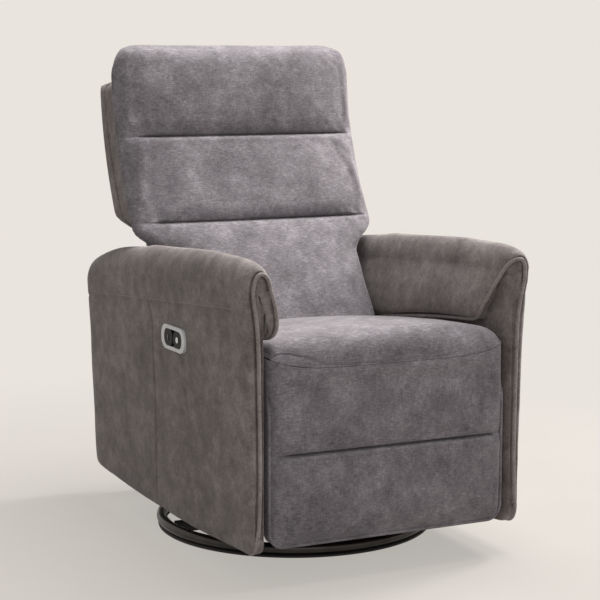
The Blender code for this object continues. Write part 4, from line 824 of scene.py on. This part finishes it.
# Arms: each a padded wall that flares upwards, bellies at its foot and rolls over at the top into
# a flap that hangs inside. Piping edges the front and the flap, a topstitched seam runs along the
# side below the roll, and a plain seam runs down the middle of the wall.
ARM_WALL_X = 0.2600
ARM_FRONT = -0.428
ARM_REAR = 0.446
ARM_LOW = 0.0648
ARM_HIGH = 0.6238
ARM_FOOT_THICK = 0.0355
ARM_FLARE = 0.020
ARM_BULGE = 0.007
ARM_BELLY = 0.014
ARM_CORNER = 0.030
ARM_FOOT_ROUND = 0.010
ARM_SEAM_FRONT = 0.5288
ARM_SEAM_FALL = 0.078
ARM_CROWN_START = -0.22
ARM_CROWN_FALL = (0.05, 0.07, 0.55)
ARM_CROWN_LATE = 0.45
ARM_CROWN_DIP = 0.012
ARM_DIP_LONG = 0.08
ROLL_CENTRE = ARM_WALL_X + 0.024
ROLL_INNER = 0.029
ROLL_FORWARD = 0.013
ROLL_TURNS = (0, 60, 90, 140, 180)
ROLL_ROUNDS = (0.0138, 0.010, 0.008, 0.008, 0.007)
FLAP_INNER = 0.2345
FLAP_THICK = 0.021
FLAP_LOW = 0.4688
FLAP_FALL = 0.040
FLAP_FALL_START = -0.38
FLAP_FALL_LONG = 0.40
FLAP_FALL_POWER = 1.5
FLAP_TURN = (100, 60)
FLAP_ROUND = (0.006, 0.002)
FLAP_SLANTS = {
    "right": ((0.4688, 0.030), (0.504, 0.009), (0.55, 0.001), (0.60, 0.0)),
    "left": ((0.4688, 0.080), (0.519, 0.047), (0.55, 0.036), (0.594, 0.018), (0.615, 0.0)),
}
SLIT = 0.0022
SLIT_TOP = 0.566
SLIT_STEP = 0.0005
FRONT_THIN = 0.009
FRONT_THIN_LONG = 0.05
INNER_ROUND = 0.004
REAR_ROUND = 0.030
REAR_ROUND_DROP = 0.05
REAR_DRAW = 0.014
REAR_DRAW_DEEP = 0.02
FRONT_SHARE = 0.026
MIDDLE_STOPS = (0.038, 0.945, 62)
REAR_SHARE = 0.955
FRONT_LEAN_LOW = 0.46
FOOT_TURNS = (-75, -45, -15)
FOOT_FRONT_ROUND = 0.007
SIDE_FRONT_ROUND = 0.006
FRONT_EDGE = (
    (0.05, 0.289), (0.082, 0.288), (0.21, 0.283), (0.29, 0.284), (0.44, 0.286),
    (0.492, 0.288), (0.519, 0.292), (0.545, 0.297), (0.571, 0.300),
)
FACING_RINGS = ((0.0110, 0.0), (0.0040, 0.0065))
FACING_INNER = 0.6
FACING_INNER_DEEP = 0.004
FACING_GROOVE = 0.0065
PIPING_INSET = ((0.262, 0.285), (-0.0015, 0.0044))
ARM_WELT = 0.0037
PIPING_EASE = 5
PIPING_TUCK = 0.002
PIPING_PROUD = 0.0006
PIPING_TURN = 19
HEM_PIPING_START = 0.012
HEM_PIPING_END = 0.10
WALL_SEAM_Y = 0.040
WALL_SEAM_REACH = 0.05
WALL_SEAM_STOPS = (-0.009, -0.004, 0, 0.004, 0.009)
WALL_SEAM = (
    (0.060, 0.037), (0.037, 0.200), (0.030, 0.370), (0.028, 0.459), (0.046, 0.489), (0.071, 0.513),
)
WALL_OUTSIDE = 0.01
SEAM_SINK = 0.0034
SEAM_HALF = 0.0035
SEAM_START = 0.02
SEAM_START_LONG = 0.03
ARM_SKIN = (0.015, 0.01)
ARM_WAVES = ((0.0015, 0.12), (0.0005, 0.035))
PUCKER = 0.0016
PUCKER_STEP = 0.011
PUCKER_START = 0.02
PUCKER_HEIGHT = 0.545
PUCKER_REACH = 0.035
PUCKER_SLOPE = (0.35, 0.4)
SWITCH_SINK = 0.012
SWITCH_FLAT = (0.040, 0.014)
SWITCH_STEEP = 3
SWITCH_FADE = 0.016
ARM_STITCH_ENDS = (0.03, 0.04)
ARM_STITCH_RISE = 0.0060
ARM_STITCH_COUNT = 80
ARM_STITCH_OUT = 0.33
ARM_THREAD = 0.0008


def swell(share, power):
    """A padded height over a share of 0 to 1: nothing at the ends, one in the middle."""
    return np.sin(np.pi * np.clip(share, 0, 1)) ** power


def arm_along(y):
    """Share of the arm's length at y, from the front."""
    return np.clip((y - ARM_FRONT) / (ARM_REAR - ARM_FRONT), 0, 1)


def arm_seam(y):
    """Height of the topstitched seam along the side."""
    return ARM_SEAM_FRONT - ARM_SEAM_FALL * (y - ARM_FRONT)


def arm_side(y, z):
    """Outer x of the arm, flared to its top and padded along its length."""
    share = np.clip((z - ARM_LOW) / (ARM_HIGH - ARM_LOW), 0, 1)
    length = swell(np.minimum(arm_along(y), 0.5), 0.5)
    return ARM_WALL_X + ARM_FOOT_THICK + ARM_FLARE * share ** 2 + ARM_BULGE * length * swell(share, 0.5)


def arm_crown(y):
    """Height of the arm's top, which dips at the front and falls to the rear."""
    dip = ARM_CROWN_DIP * np.clip(1 - (y - ARM_FRONT) / ARM_DIP_LONG, 0, 1) ** 2
    run = np.maximum(0, y - ARM_CROWN_START)
    slope, bend, end = ARM_CROWN_FALL
    return ARM_HIGH - dip - slope * run - bend * run ** 2 - end * np.maximum(0, run - ARM_CROWN_LATE) ** 2


def arm_foot(y):
    """Height of the arm's foot: a shallow belly with its front and rear corners rounded up."""
    left = np.minimum(y - ARM_FRONT, ARM_REAR - y)
    lean = np.clip(1 - left / ARM_CORNER, 0, 1)
    return ARM_LOW - ARM_BELLY * np.sin(np.pi * arm_along(y)) + ARM_CORNER * (1 - np.sqrt(1 - lean ** 2))


def flap_foot(y):
    """Height of the flap's lower edge, which follows the seat down to the rear."""
    run = np.clip((y - FLAP_FALL_START) / FLAP_FALL_LONG, 0, 1)
    return FLAP_LOW - FLAP_FALL * run ** FLAP_FALL_POWER


def arm_section(y):
    """Outline across the arm at y: rows of distance out, height, front edge's radius, share of flap."""
    foot = arm_foot(y)
    hem = flap_foot(y)
    seam = arm_seam(y)
    high = arm_crown(y)
    middle = (seam + high) / 2
    outer = arm_side(y, middle)
    thin = FRONT_THIN * np.clip(1 - (y - ARM_FRONT) / FRONT_THIN_LONG, 0, 1)
    wall = ARM_WALL_X + thin
    tip = (FLAP_THICK + thin) / 2
    peak = min(SLIT_TOP, middle)
    slit_in = FLAP_INNER + 2 * tip
    inner = ROLL_CENTRE - ROLL_INNER
    sunk = SEAM_SINK * np.clip((y - ARM_FRONT - SEAM_START) / SEAM_START_LONG, 0, 1)
    outline = []
    for turn in np.radians(FOOT_TURNS):
        out = arm_side(y, foot) + ARM_FOOT_ROUND * (np.cos(turn) - 1)
        outline.append((out, foot + ARM_FOOT_ROUND * (1 + np.sin(turn)), FOOT_FRONT_ROUND, 0))
    heights = (
        *np.linspace(foot + ARM_FOOT_ROUND, seam - SEAM_HALF, 40), seam, seam + SEAM_HALF,
        *np.linspace(seam + SEAM_HALF, middle, 8)[1:],
    )
    for height in heights:
        edge = arm_side(ARM_FRONT, height) - np.interp(height, *zip(*FRONT_EDGE))
        out = arm_side(y, height) - sunk * (height == seam)
        outline.append((out, height, max(SIDE_FRONT_ROUND, edge), 0))
    for degrees in np.linspace(0, 180, 28)[1:]:
        turn = math.radians(degrees)
        reach = outer - ROLL_CENTRE if degrees < 90 else ROLL_INNER
        outline.append((
            ROLL_CENTRE + reach * math.cos(turn), middle + (high - middle) * math.sin(turn),
            np.interp(degrees, ROLL_TURNS, ROLL_ROUNDS),
            np.clip((degrees - FLAP_TURN[0]) / FLAP_TURN[1], 0, 1),
        ))
    for fall in np.linspace(0, 1, 14)[1:]:
        out = inner + (FLAP_INNER - inner) * math.sin(fall * math.pi / 2)
        height = middle + (hem + tip - middle) * fall
        outline.append((out, height, FLAP_ROUND[0] - FLAP_ROUND[1] * fall, 1))
    for turn in np.radians(np.linspace(180, 360, 9))[1:]:
        outline.append((
            FLAP_INNER + tip + tip * math.cos(turn), hem + tip + tip * math.sin(turn), INNER_ROUND, 1,
        ))
    for climb in np.linspace(0, 1, 10)[1:]:
        out = slit_in + (wall - SLIT - slit_in) * climb
        outline.append((out, hem + tip + (peak - hem - tip) * climb, INNER_ROUND, 1))
    for height in np.linspace(peak - SLIT_STEP, foot + ARM_FOOT_ROUND / 2, 44):
        outline.append((wall, height, INNER_ROUND, 0))
    outline.append((wall + ARM_FOOT_ROUND / 4, foot, INNER_ROUND, 0))
    return np.array(outline, float)


def section_out(points):
    """Outward directions at the points of a section."""
    ahead = np.roll(points, -1, axis=0) - np.roll(points, 1, axis=0)
    ahead /= np.maximum(np.linalg.norm(ahead, axis=1), 1e-9)[:, None]
    return np.stack((ahead[:, 1], -ahead[:, 0]), axis=1)


def arm_front(height, flap, label):
    """Y of the arm's front face, which leans forward to the roll and slants back down the flap."""
    lean = np.clip((height - FRONT_LEAN_LOW) / (ARM_HIGH - FRONT_LEAN_LOW), 0, 1)
    forward = ROLL_FORWARD * lean ** 2
    return ARM_FRONT - forward + flap * np.interp(height, *zip(*FLAP_SLANTS[label]))


def arm_cover(side, label):
    """One arm's cover, lofted from front to rear."""
    seam_stop = (WALL_SEAM_Y - ARM_FRONT) / (ARM_REAR - ARM_FRONT)
    stops = np.unique(np.round(np.concatenate((
        FRONT_SHARE * (1 - np.cos(np.linspace(0, np.pi / 2, 8))), np.linspace(*MIDDLE_STOPS),
        seam_stop + np.array(WALL_SEAM_STOPS),
        REAR_SHARE + (1 - REAR_SHARE) * np.sin(np.linspace(0, np.pi / 2, 8)),
    )), 5))
    rings = [(0.0, inset, push) for inset, push in FACING_RINGS]
    rings += [(stop, 0.0, FACING_GROOVE * (stop == 0)) for stop in stops]
    count = len(arm_section(0.0))
    bpy.ops.object.select_all(action="DESELECT")
    bpy.ops.mesh.primitive_cylinder_add(
        vertices=count, radius=1, depth=len(rings) - 1, end_fill_type="NGON",
        rotation=(math.pi / 2, 0, 0), location=(0, (len(rings) - 1) / 2, 0),
    )
    piece = bpy.context.object
    piece.name = f"arm_cover_{label}"
    bpy.ops.object.transform_apply(location=True, rotation=True, scale=True)
    bpy.ops.object.mode_set(mode="EDIT")
    for number in range(1, len(rings) - 1):
        bpy.ops.mesh.select_all(action="SELECT")
        bpy.ops.mesh.bisect(plane_co=(0, number, 0), plane_no=(0, 1, 0))
    bpy.ops.object.mode_set(mode="OBJECT")
    x, number, z = points_of(piece)
    number = np.rint(number).astype(int)
    index = np.rint(np.arctan2(z, x) / (2 * np.pi) * count).astype(int) % count
    places = np.zeros((len(x), 3))
    for ring, (stop, inset, push) in enumerate(rings):
        here = number == ring
        section = arm_section(ARM_FRONT + (ARM_REAR - ARM_FRONT) * stop)
        points, radius, flap = section[:, :2], section[:, 2], section[:, 3]
        inner = np.where(points[:, 0] < ARM_WALL_X + FACING_INNER_DEEP, FACING_INNER, 1)
        lean = max(0, 1 - stop / FRONT_SHARE)
        drawn = radius * (1 - math.sqrt(1 - lean ** 2)) + inset * inner
        points = points - section_out(points) * drawn[:, None]
        lean = max(0, (stop - REAR_SHARE) / (1 - REAR_SHARE))
        drawn = 1 - math.sqrt(max(0, 1 - lean ** 2))
        low = arm_seam(ARM_REAR) - REAR_ROUND_DROP
        top_share = np.clip((points[:, 1] - low) / (arm_crown(ARM_REAR) - low), 0, 1)
        points[:, 1] -= drawn * REAR_ROUND * top_share
        points[:, 0] -= drawn * REAR_DRAW * np.clip((points[:, 0] - ARM_WALL_X) / REAR_DRAW_DEEP, 0, 1)
        out, height = points[index[here]].T
        begin = arm_front(height, flap[index[here]], label) + push
        run = begin + (ARM_REAR - begin) * stop
        near = np.exp(-((run - WALL_SEAM_Y) / WALL_SEAM_REACH) ** 2)
        seam_y = np.interp(height, [p[1] for p in WALL_SEAM], [p[0] for p in WALL_SEAM])
        run += near * (seam_y - WALL_SEAM_Y)
        outside = (out > ARM_WALL_X + WALL_OUTSIDE) & (height < arm_seam(WALL_SEAM_Y))
        out = out - SEAM_SINK * outside * (abs(stop - seam_stop) < 1e-4)
        places[here] = np.stack((side * out, run, height), axis=1)
    set_points(piece, places.T)
    only(piece)
    bpy.ops.object.mode_set(mode="EDIT")
    bpy.ops.mesh.select_mode(type="FACE")
    bpy.ops.mesh.select_all(action="DESELECT")
    bpy.ops.mesh.select_face_by_sides(number=4, type="GREATER", extend=False)
    bpy.ops.mesh.quads_convert_to_tris(quad_method="BEAUTY", ngon_method="BEAUTY")
    bpy.ops.mesh.select_all(action="SELECT")
    bpy.ops.mesh.normals_make_consistent(inside=False)
    bpy.ops.mesh.select_mode(type="VERT")
    bpy.ops.object.mode_set(mode="OBJECT")
    apply_modifier(piece, "SUBSURF", levels=1, render_levels=1)
    x, y, z = points_of(piece)
    outside = np.clip((np.abs(x) - ARM_WALL_X - ARM_SKIN[0]) / ARM_SKIN[1], 0, 1)
    pucker = np.exp(-np.maximum(0, y - ARM_FRONT - PUCKER_START) / PUCKER_REACH)
    pucker = pucker * np.exp(-((z - PUCKER_HEIGHT) / PUCKER_REACH) ** 2)
    uneven = sum(deep * ripple(x, y, z, step) for deep, step in ARM_WAVES)
    uneven += PUCKER * pucker * ripple(0 * x, PUCKER_SLOPE[0] * y, z - PUCKER_SLOPE[1] * y, PUCKER_STEP)
    if label == "right":
        low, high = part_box("switch_bezel")
        along = np.abs(y - (low.y + high.y) / 2) - SWITCH_FLAT[0]
        across = np.abs(z - (low.z + high.z) / 2) - SWITCH_FLAT[1]
        edge = np.maximum(along, SWITCH_STEEP * across)
        uneven = uneven + (SWITCH_SINK - uneven) * np.clip(1 - edge / SWITCH_FADE, 0, 1)
    set_points(piece, (x - side * outside * uneven, y, z))
    only(piece)
    bpy.ops.object.shade_smooth()
    # The arm covers take the arms' chenille, whose warmer tone is painted room light.
    dress(piece, arm_fabric, "chassis", "arm_fabric", f"arm_panel_{label}", f"arm_pad_{label}")
    return piece


def arm_trim(piece, side, label):
    """Piping round the arm's front and along the flap, and the stitching along the side."""
    section = arm_section(ARM_FRONT)
    inset = section[:, 2] + np.interp(section[:, 0], *PIPING_INSET)
    points = section[:, :2] - section_out(section[:, :2]) * inset[:, None]
    front = arm_front(points[:, 1], section[:, 3], label)
    stop = int(np.flatnonzero(section[:, 3] == 1)[PIPING_TURN])
    under = np.linspace(ARM_FRONT + ARM_CORNER, ARM_FRONT + PIPING_TUCK, 10)
    path = [(side * points[0, 0], y, arm_foot(y) + PIPING_TUCK) for y in under]
    path += [
        (side * out, run - PIPING_PROUD, height)
        for (out, height), run in zip(points[:stop], front[:stop])
    ]
    for y in np.linspace(path[-1][1] + HEM_PIPING_START, HEM_PIPING_END, 30):
        path.append((side * (FLAP_INNER + FLAP_THICK / 2), y, flap_foot(y)))
    path = np.array(path)
    for _ in range(PIPING_EASE):
        path[1:-1] = path[1:-1] / 2 + (path[:-2] + path[2:]) / 4
    dress(welt(f"arm_welt_{label}", path, ARM_WELT), arm_piping_painted_highlight, "chassis", "arm_fabric")
    run = np.linspace(ARM_FRONT + ARM_STITCH_ENDS[0], ARM_REAR - ARM_STITCH_ENDS[1], ARM_STITCH_COUNT)
    out = np.full_like(run, side * ARM_STITCH_OUT)
    path = np.stack((out, run, arm_seam(run) + ARM_STITCH_RISE), axis=1)
    path = drop_on(piece, path, (-side, 0, 0), THREAD_LIFT)
    row = stitches(f"arm_stitch_{label}", path, (side, 0, 0), thick=ARM_THREAD)
    dress(row, arm_thread_painted_highlight, "chassis", "arm_fabric")


# The piping's chenille is the arms' chenille made lighter: a painted highlight along the round of the
# piping.
arm_piping_painted_highlight = chenille(
    "arm_piping_painted_highlight", linear(104, 97, 94), linear(134, 126, 123), linear(160, 152, 149),
    (38, 32, 34), (240, 200, 230), (420, 380, 400), 0.50,
)
# The side seam's thread is drawn much lighter than the arms' chenille: a painted highlight along the seam
# line.
arm_thread_painted_highlight = moulded_plastic("arm_thread_painted_highlight", linear(148, 141, 138), linear(170, 163, 160), 0.8)
for side, label in ((-1, "right"), (1, "left")):
    arm_trim(arm_cover(side, label), side, label)


# Back shell: the outside of the backrest, a taut hollow cover of the arms' chenille in its painted
# warm tint, pulled down over the timber frame, with a line of piping down each side and over the top.
SHELL_LOW = 0.4562
SHELL_TOP = 0.9358
SHELL_HALF = 0.284
SHELL_NARROW = 0.2260
SHELL_DEEP = 0.104
SHELL_SPREAD = 0.064
SHELL_SIDE_FALL = 0.008
SHELL_ROUND = 0.022
SHELL_WALL = 0.006
SHELL_WELT = 0.052
SHELL_WELT_RISE = 0.10
SHELL_EASE = (0.592, 0.652)
SHELL_OPEN = 0.001
BACK_GAP = 0.0006


def shoulder(z, narrow, wide, ease):
    """Half the width at z: narrow between the arms, easing out to full width above them."""
    return narrow + (wide - narrow) * smooth((z - ease[0]) / (ease[1] - ease[0]))


shell = block("back_shell_cover", (-1, 0, SHELL_LOW), (1, 1, SHELL_TOP), (
    spread(-1, 1, 40), spread(0, 1, 12), spread(SHELL_LOW, SHELL_TOP, 48),
))
bpy.ops.object.mode_set(mode="EDIT")
bpy.ops.mesh.select_all(action="DESELECT")
bpy.ops.object.mode_set(mode="OBJECT")
for face in shell.data.polygons:
    face.select = face.center.y < SHELL_OPEN or face.center.z < SHELL_LOW + SHELL_OPEN
bpy.ops.object.mode_set(mode="EDIT")
bpy.ops.mesh.select_mode(type="FACE")
bpy.ops.mesh.delete(type="FACE")
bpy.ops.mesh.select_mode(type="VERT")
bpy.ops.object.mode_set(mode="OBJECT")
u, v, z = points_of(shell)
half = shoulder(z, SHELL_NARROW, SHELL_HALF, SHELL_EASE)
start = back_line(z) + BACK_GAP
rear = back_line(z) + SHELL_DEEP + SHELL_SPREAD * (SHELL_TOP - z)
rear -= SHELL_SIDE_FALL * np.maximum(0, 2 * np.abs(u) - 1) ** 2
y = start + (rear - start) * v
inset, down = rounded(half * (1 - np.abs(u)), SHELL_TOP - z, SHELL_ROUND)
behind, inset = rounded(rear - y, inset, SHELL_ROUND)
behind, down = rounded(behind, down, SHELL_ROUND)
set_points(shell, (np.sign(u) * (half - inset), rear - behind, SHELL_TOP - down))
apply_modifier(shell, "SUBSURF", levels=1, render_levels=1, subdivision_type="SIMPLE")
apply_modifier(shell, "SOLIDIFY", thickness=SHELL_WALL, offset=-1)
only(shell)
bpy.ops.object.shade_smooth()
dress(shell, arm_fabric, "backrest", "arm_fabric", "back_shell")


def arch(low, top, half_at, corner, behind, count):
    """A path up one side, over the rounded top and down the other side, set off the back's line."""
    rise = np.linspace(low, top - corner, count)
    side = [(half_at(h), h) for h in rise]
    turn = np.radians(np.linspace(0, 90, 12))[1:]
    reach = half_at(top) - corner
    side += [(reach + corner * math.cos(t), top - corner + corner * math.sin(t)) for t in turn]
    outline = [(-x, h) for x, h in side] + side[::-1]
    return [(x, float(back_line(h)) + behind, h) for x, h in outline]


path = arch(
    SHELL_LOW + SHELL_WELT_RISE, SHELL_TOP,
    lambda h: float(shoulder(h, SHELL_NARROW, SHELL_HALF, SHELL_EASE)), SHELL_ROUND, SHELL_WELT, 50,
)
dress(welt("back_shell_welt", path, WELT), arm_fabric, "backrest", "arm_fabric")


# Back cushion: three plump pillows of the seat's chenille over fibre filling, sewn through to the
# back in two deep channels, with piping all round the edge.
CUSHION_LOW = 0.4022
CUSHION_TOP = 1.0235
CUSHION_HALF = 0.285
CUSHION_NARROW = 0.2270
CUSHION_EASE = (0.5678, 0.6258)
CUSHION_CHANNELS = (0.640, 0.821)
CUSHION_EDGE = 0.018
CUSHION_CORNER = 0.064
CUSHION_TOP_ROUND = 0.030
CUSHION_SHALLOW = 0.056
CUSHION_REAR_ROUND = 0.02
CUSHION_CHANNEL_END = (0.12, 0.9)
CUSHION_HELD_CHANNEL = 0.025
CUSHION_HELD_SIDE = 0.999
CUSHION_PRESSURE = 2.5
CUSHION_GIVE = 0.005
CUSHION_GROW = 0.004
CUSHION_ENDS = (0.13, 0.10)
CUSHION_WAVES = (0.0014, 0.10)
CHANNEL_FOLDS = (0.0004, 0.0030)
CHANNEL_GATHERS = (0.022, 0.017, 0.8)
HEAD_FOLDS = (0.0008, 0.0022)
HEAD_GATHERS = (0.03, 0.016, 0.9)
HEAD_BULGE = 0.026
HEAD_START = 0.002
HEAD_LONG = 0.02
HEAD_SMOOTH = 10
CUSHION_WELT = -0.007
CUSHION_WELT_RISE = 0.03
CUSHION_WELT_DROP = 0.009
SIDE_POWER = 5
PILLOW_SHARE = (0, 0.01, 0.03, 0.07, 0.16, 0.30, 0.45, 0.60, 0.75, 0.88, 0.94, 0.975, 0.99, 1)
PILLOW_DEPTH = (
    0.024, 0.046, 0.0535, 0.0600, 0.0675, 0.0725, 0.0742, 0.0738, 0.0722, 0.0692,
    0.0665, 0.0625, 0.055, 0.024,
)
HEAD_DEPTH = (*PILLOW_DEPTH[:6], 0.0732, 0.0700, 0.0635, 0.0540, 0.0480, 0.0440, 0.0410, 0.036)
SEAT_DEPTH = (0.062, 0.064, 0.066, 0.068, *PILLOW_DEPTH[4:])

rows = []
for start in range(3):
    middle_rows = spread(PILLOW_SHARE[4], PILLOW_SHARE[9], 18)
    rows += [start + s for s in (*PILLOW_SHARE[:5], *middle_rows, *PILLOW_SHARE[9:-1])]
cushion = block("back_cushion_cover", (-1, 0, 0), (1, 1, 3), (
    spread(-1, 1, 76), spread(0, 1, 6), rows[1:],
))
u, v, share = points_of(cushion)
z = np.interp(share, range(4), (CUSHION_LOW, *CUSHION_CHANNELS, CUSHION_TOP))
thick = np.zeros(len(z))
for start, depths in enumerate((SEAT_DEPTH, PILLOW_DEPTH, HEAD_DEPTH)):
    here = (share >= start) & (share <= start + 1)
    thick = np.where(here, np.interp(share - start, PILLOW_SHARE, depths), thick)
gap = np.minimum(np.abs(share - 1), np.abs(share - 2))
inward = smooth((1 - np.abs(u)) / CUSHION_CHANNEL_END[0] - CUSHION_CHANNEL_END[1])
shallow = np.maximum(thick, CUSHION_SHALLOW) - CHANNEL_SEAM * (gap < ON_ROW)
thick = np.where(gap < CHANNEL_NEAR, shallow + (thick - shallow) * inward, thick)
thick = CUSHION_EDGE + (thick - CUSHION_EDGE) * plump(u, SIDE_POWER)
half = shoulder(z, CUSHION_NARROW, CUSHION_HALF, CUSHION_EASE)
head = smooth((z - SHELL_TOP - HEAD_START) / HEAD_LONG)
rear = back_line(z) - BACK_GAP + HEAD_BULGE * head * plump(u, SIDE_POWER)
front = back_line(z) - thick
y = rear + (front - rear) * v
inset, down = rounded(half * (1 - np.abs(u)), CUSHION_TOP - z, CUSHION_CORNER)
ahead, down = rounded(y - front, down, CUSHION_TOP_ROUND)
behind, down = rounded(rear - front - ahead, down, CUSHION_REAR_ROUND)
set_points(cushion, (np.sign(u) * (half - inset), rear - behind, CUSHION_TOP - down))
held = (v < COVER_HELD) | (gap < CUSHION_HELD_CHANNEL) | (np.abs(u) > CUSHION_HELD_SIDE)
fill(cushion, held, CUSHION_PRESSURE, CUSHION_GIVE, grow=CUSHION_GROW)
group = cushion.vertex_groups.new(name="head")
at_head = points_of(cushion)[2] > CUSHION_TOP - CUSHION_CORNER
group.add([int(i) for i in np.flatnonzero(at_head)], 1.0, "REPLACE")
apply_modifier(cushion, "SMOOTH", factor=0.5, iterations=HEAD_SMOOTH, vertex_group="head")
cushion.vertex_groups.clear()
apply_modifier(cushion, "SUBSURF", levels=1, render_levels=1)
x, y, z = points_of(cushion)
face = np.clip((back_line(z) - FACE_START - y) / FACE_LONG, 0, 1)
ends = smooth((np.abs(x) - CUSHION_ENDS[0]) / CUSHION_ENDS[1])
fold = CUSHION_WAVES[0] * ripple(x, y, z, CUSHION_WAVES[1])
for line in CUSHION_CHANNELS:
    fold += (CHANNEL_FOLDS[0] + CHANNEL_FOLDS[1] * ends) * gathers(x, z, line, *CHANNEL_GATHERS)
fold += (HEAD_FOLDS[0] + HEAD_FOLDS[1] * ends) * gathers(x, z, CUSHION_TOP, *HEAD_GATHERS)
set_points(cushion, (x, y + face * fold, z))
only(cushion)
bpy.ops.object.shade_smooth()
dress(cushion, body_fabric, "backrest", "body_fabric", "back_cushion")

path = arch(
    CUSHION_LOW + CUSHION_WELT_RISE, CUSHION_TOP - CUSHION_WELT_DROP,
    lambda h: float(shoulder(h, CUSHION_NARROW, CUSHION_HALF, CUSHION_EASE)),
    CUSHION_CORNER, CUSHION_WELT, 60,
)
dress(welt("back_cushion_welt", path, WELT), body_fabric, "backrest", "body_fabric")


# Switch: a silver moulded bezel let into the right arm, with a black face and two round-cornered
# buttons, one marked with a bar and one with a lit dot.
MARK_HEIGHT = 0.0006
DOT_RADIUS = 0.0062
BAR_HALF = (0.0012, 0.0055)
silver_plastic = moulded_plastic("silver_moulding", linear(196, 197, 199), linear(214, 215, 216), 0.3)
switch_black = moulded_plastic("switch_black", linear(9, 9, 10), linear(15, 15, 16), 0.55)
switch_black.node_tree.nodes["Principled BSDF"].inputs["Specular IOR Level"].default_value = 0.2
mark_white = moulded_plastic("mark_white", linear(236, 236, 234), linear(246, 246, 244), 0.4)
mark_grey = moulded_plastic("mark_grey", linear(120, 121, 123), linear(140, 141, 143), 0.5)
recoat(silver_plastic, "switch_bezel")
recoat(switch_black, "switch_housing", "button_open", "button_close")
for button, body, material in (
    ("button_close", "close_button", mark_white), ("button_open", "open_button", mark_grey),
):
    low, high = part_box(button)
    bpy.ops.object.select_all(action="DESELECT")
    bpy.ops.mesh.primitive_cylinder_add(vertices=32, radius=1, depth=1, rotation=(0, math.pi / 2, 0))
    mark = bpy.context.object
    mark.name = f"{button}_mark"
    size = (DOT_RADIUS, DOT_RADIUS) if body == "close_button" else BAR_HALF
    bpy.ops.object.transform_apply(location=True, rotation=True, scale=True)
    mark.scale = (MARK_HEIGHT, *size)
    mark.location = (low.x - MARK_HEIGHT / 4, (low.y + high.y) / 2, (low.z + high.z) / 2)
    bpy.ops.object.transform_apply(location=True, rotation=True, scale=True)
    apply_modifier(mark, "BEVEL", width=MARK_HEIGHT / 3, segments=2)
    dress(mark, material, body, "silver_plastic")
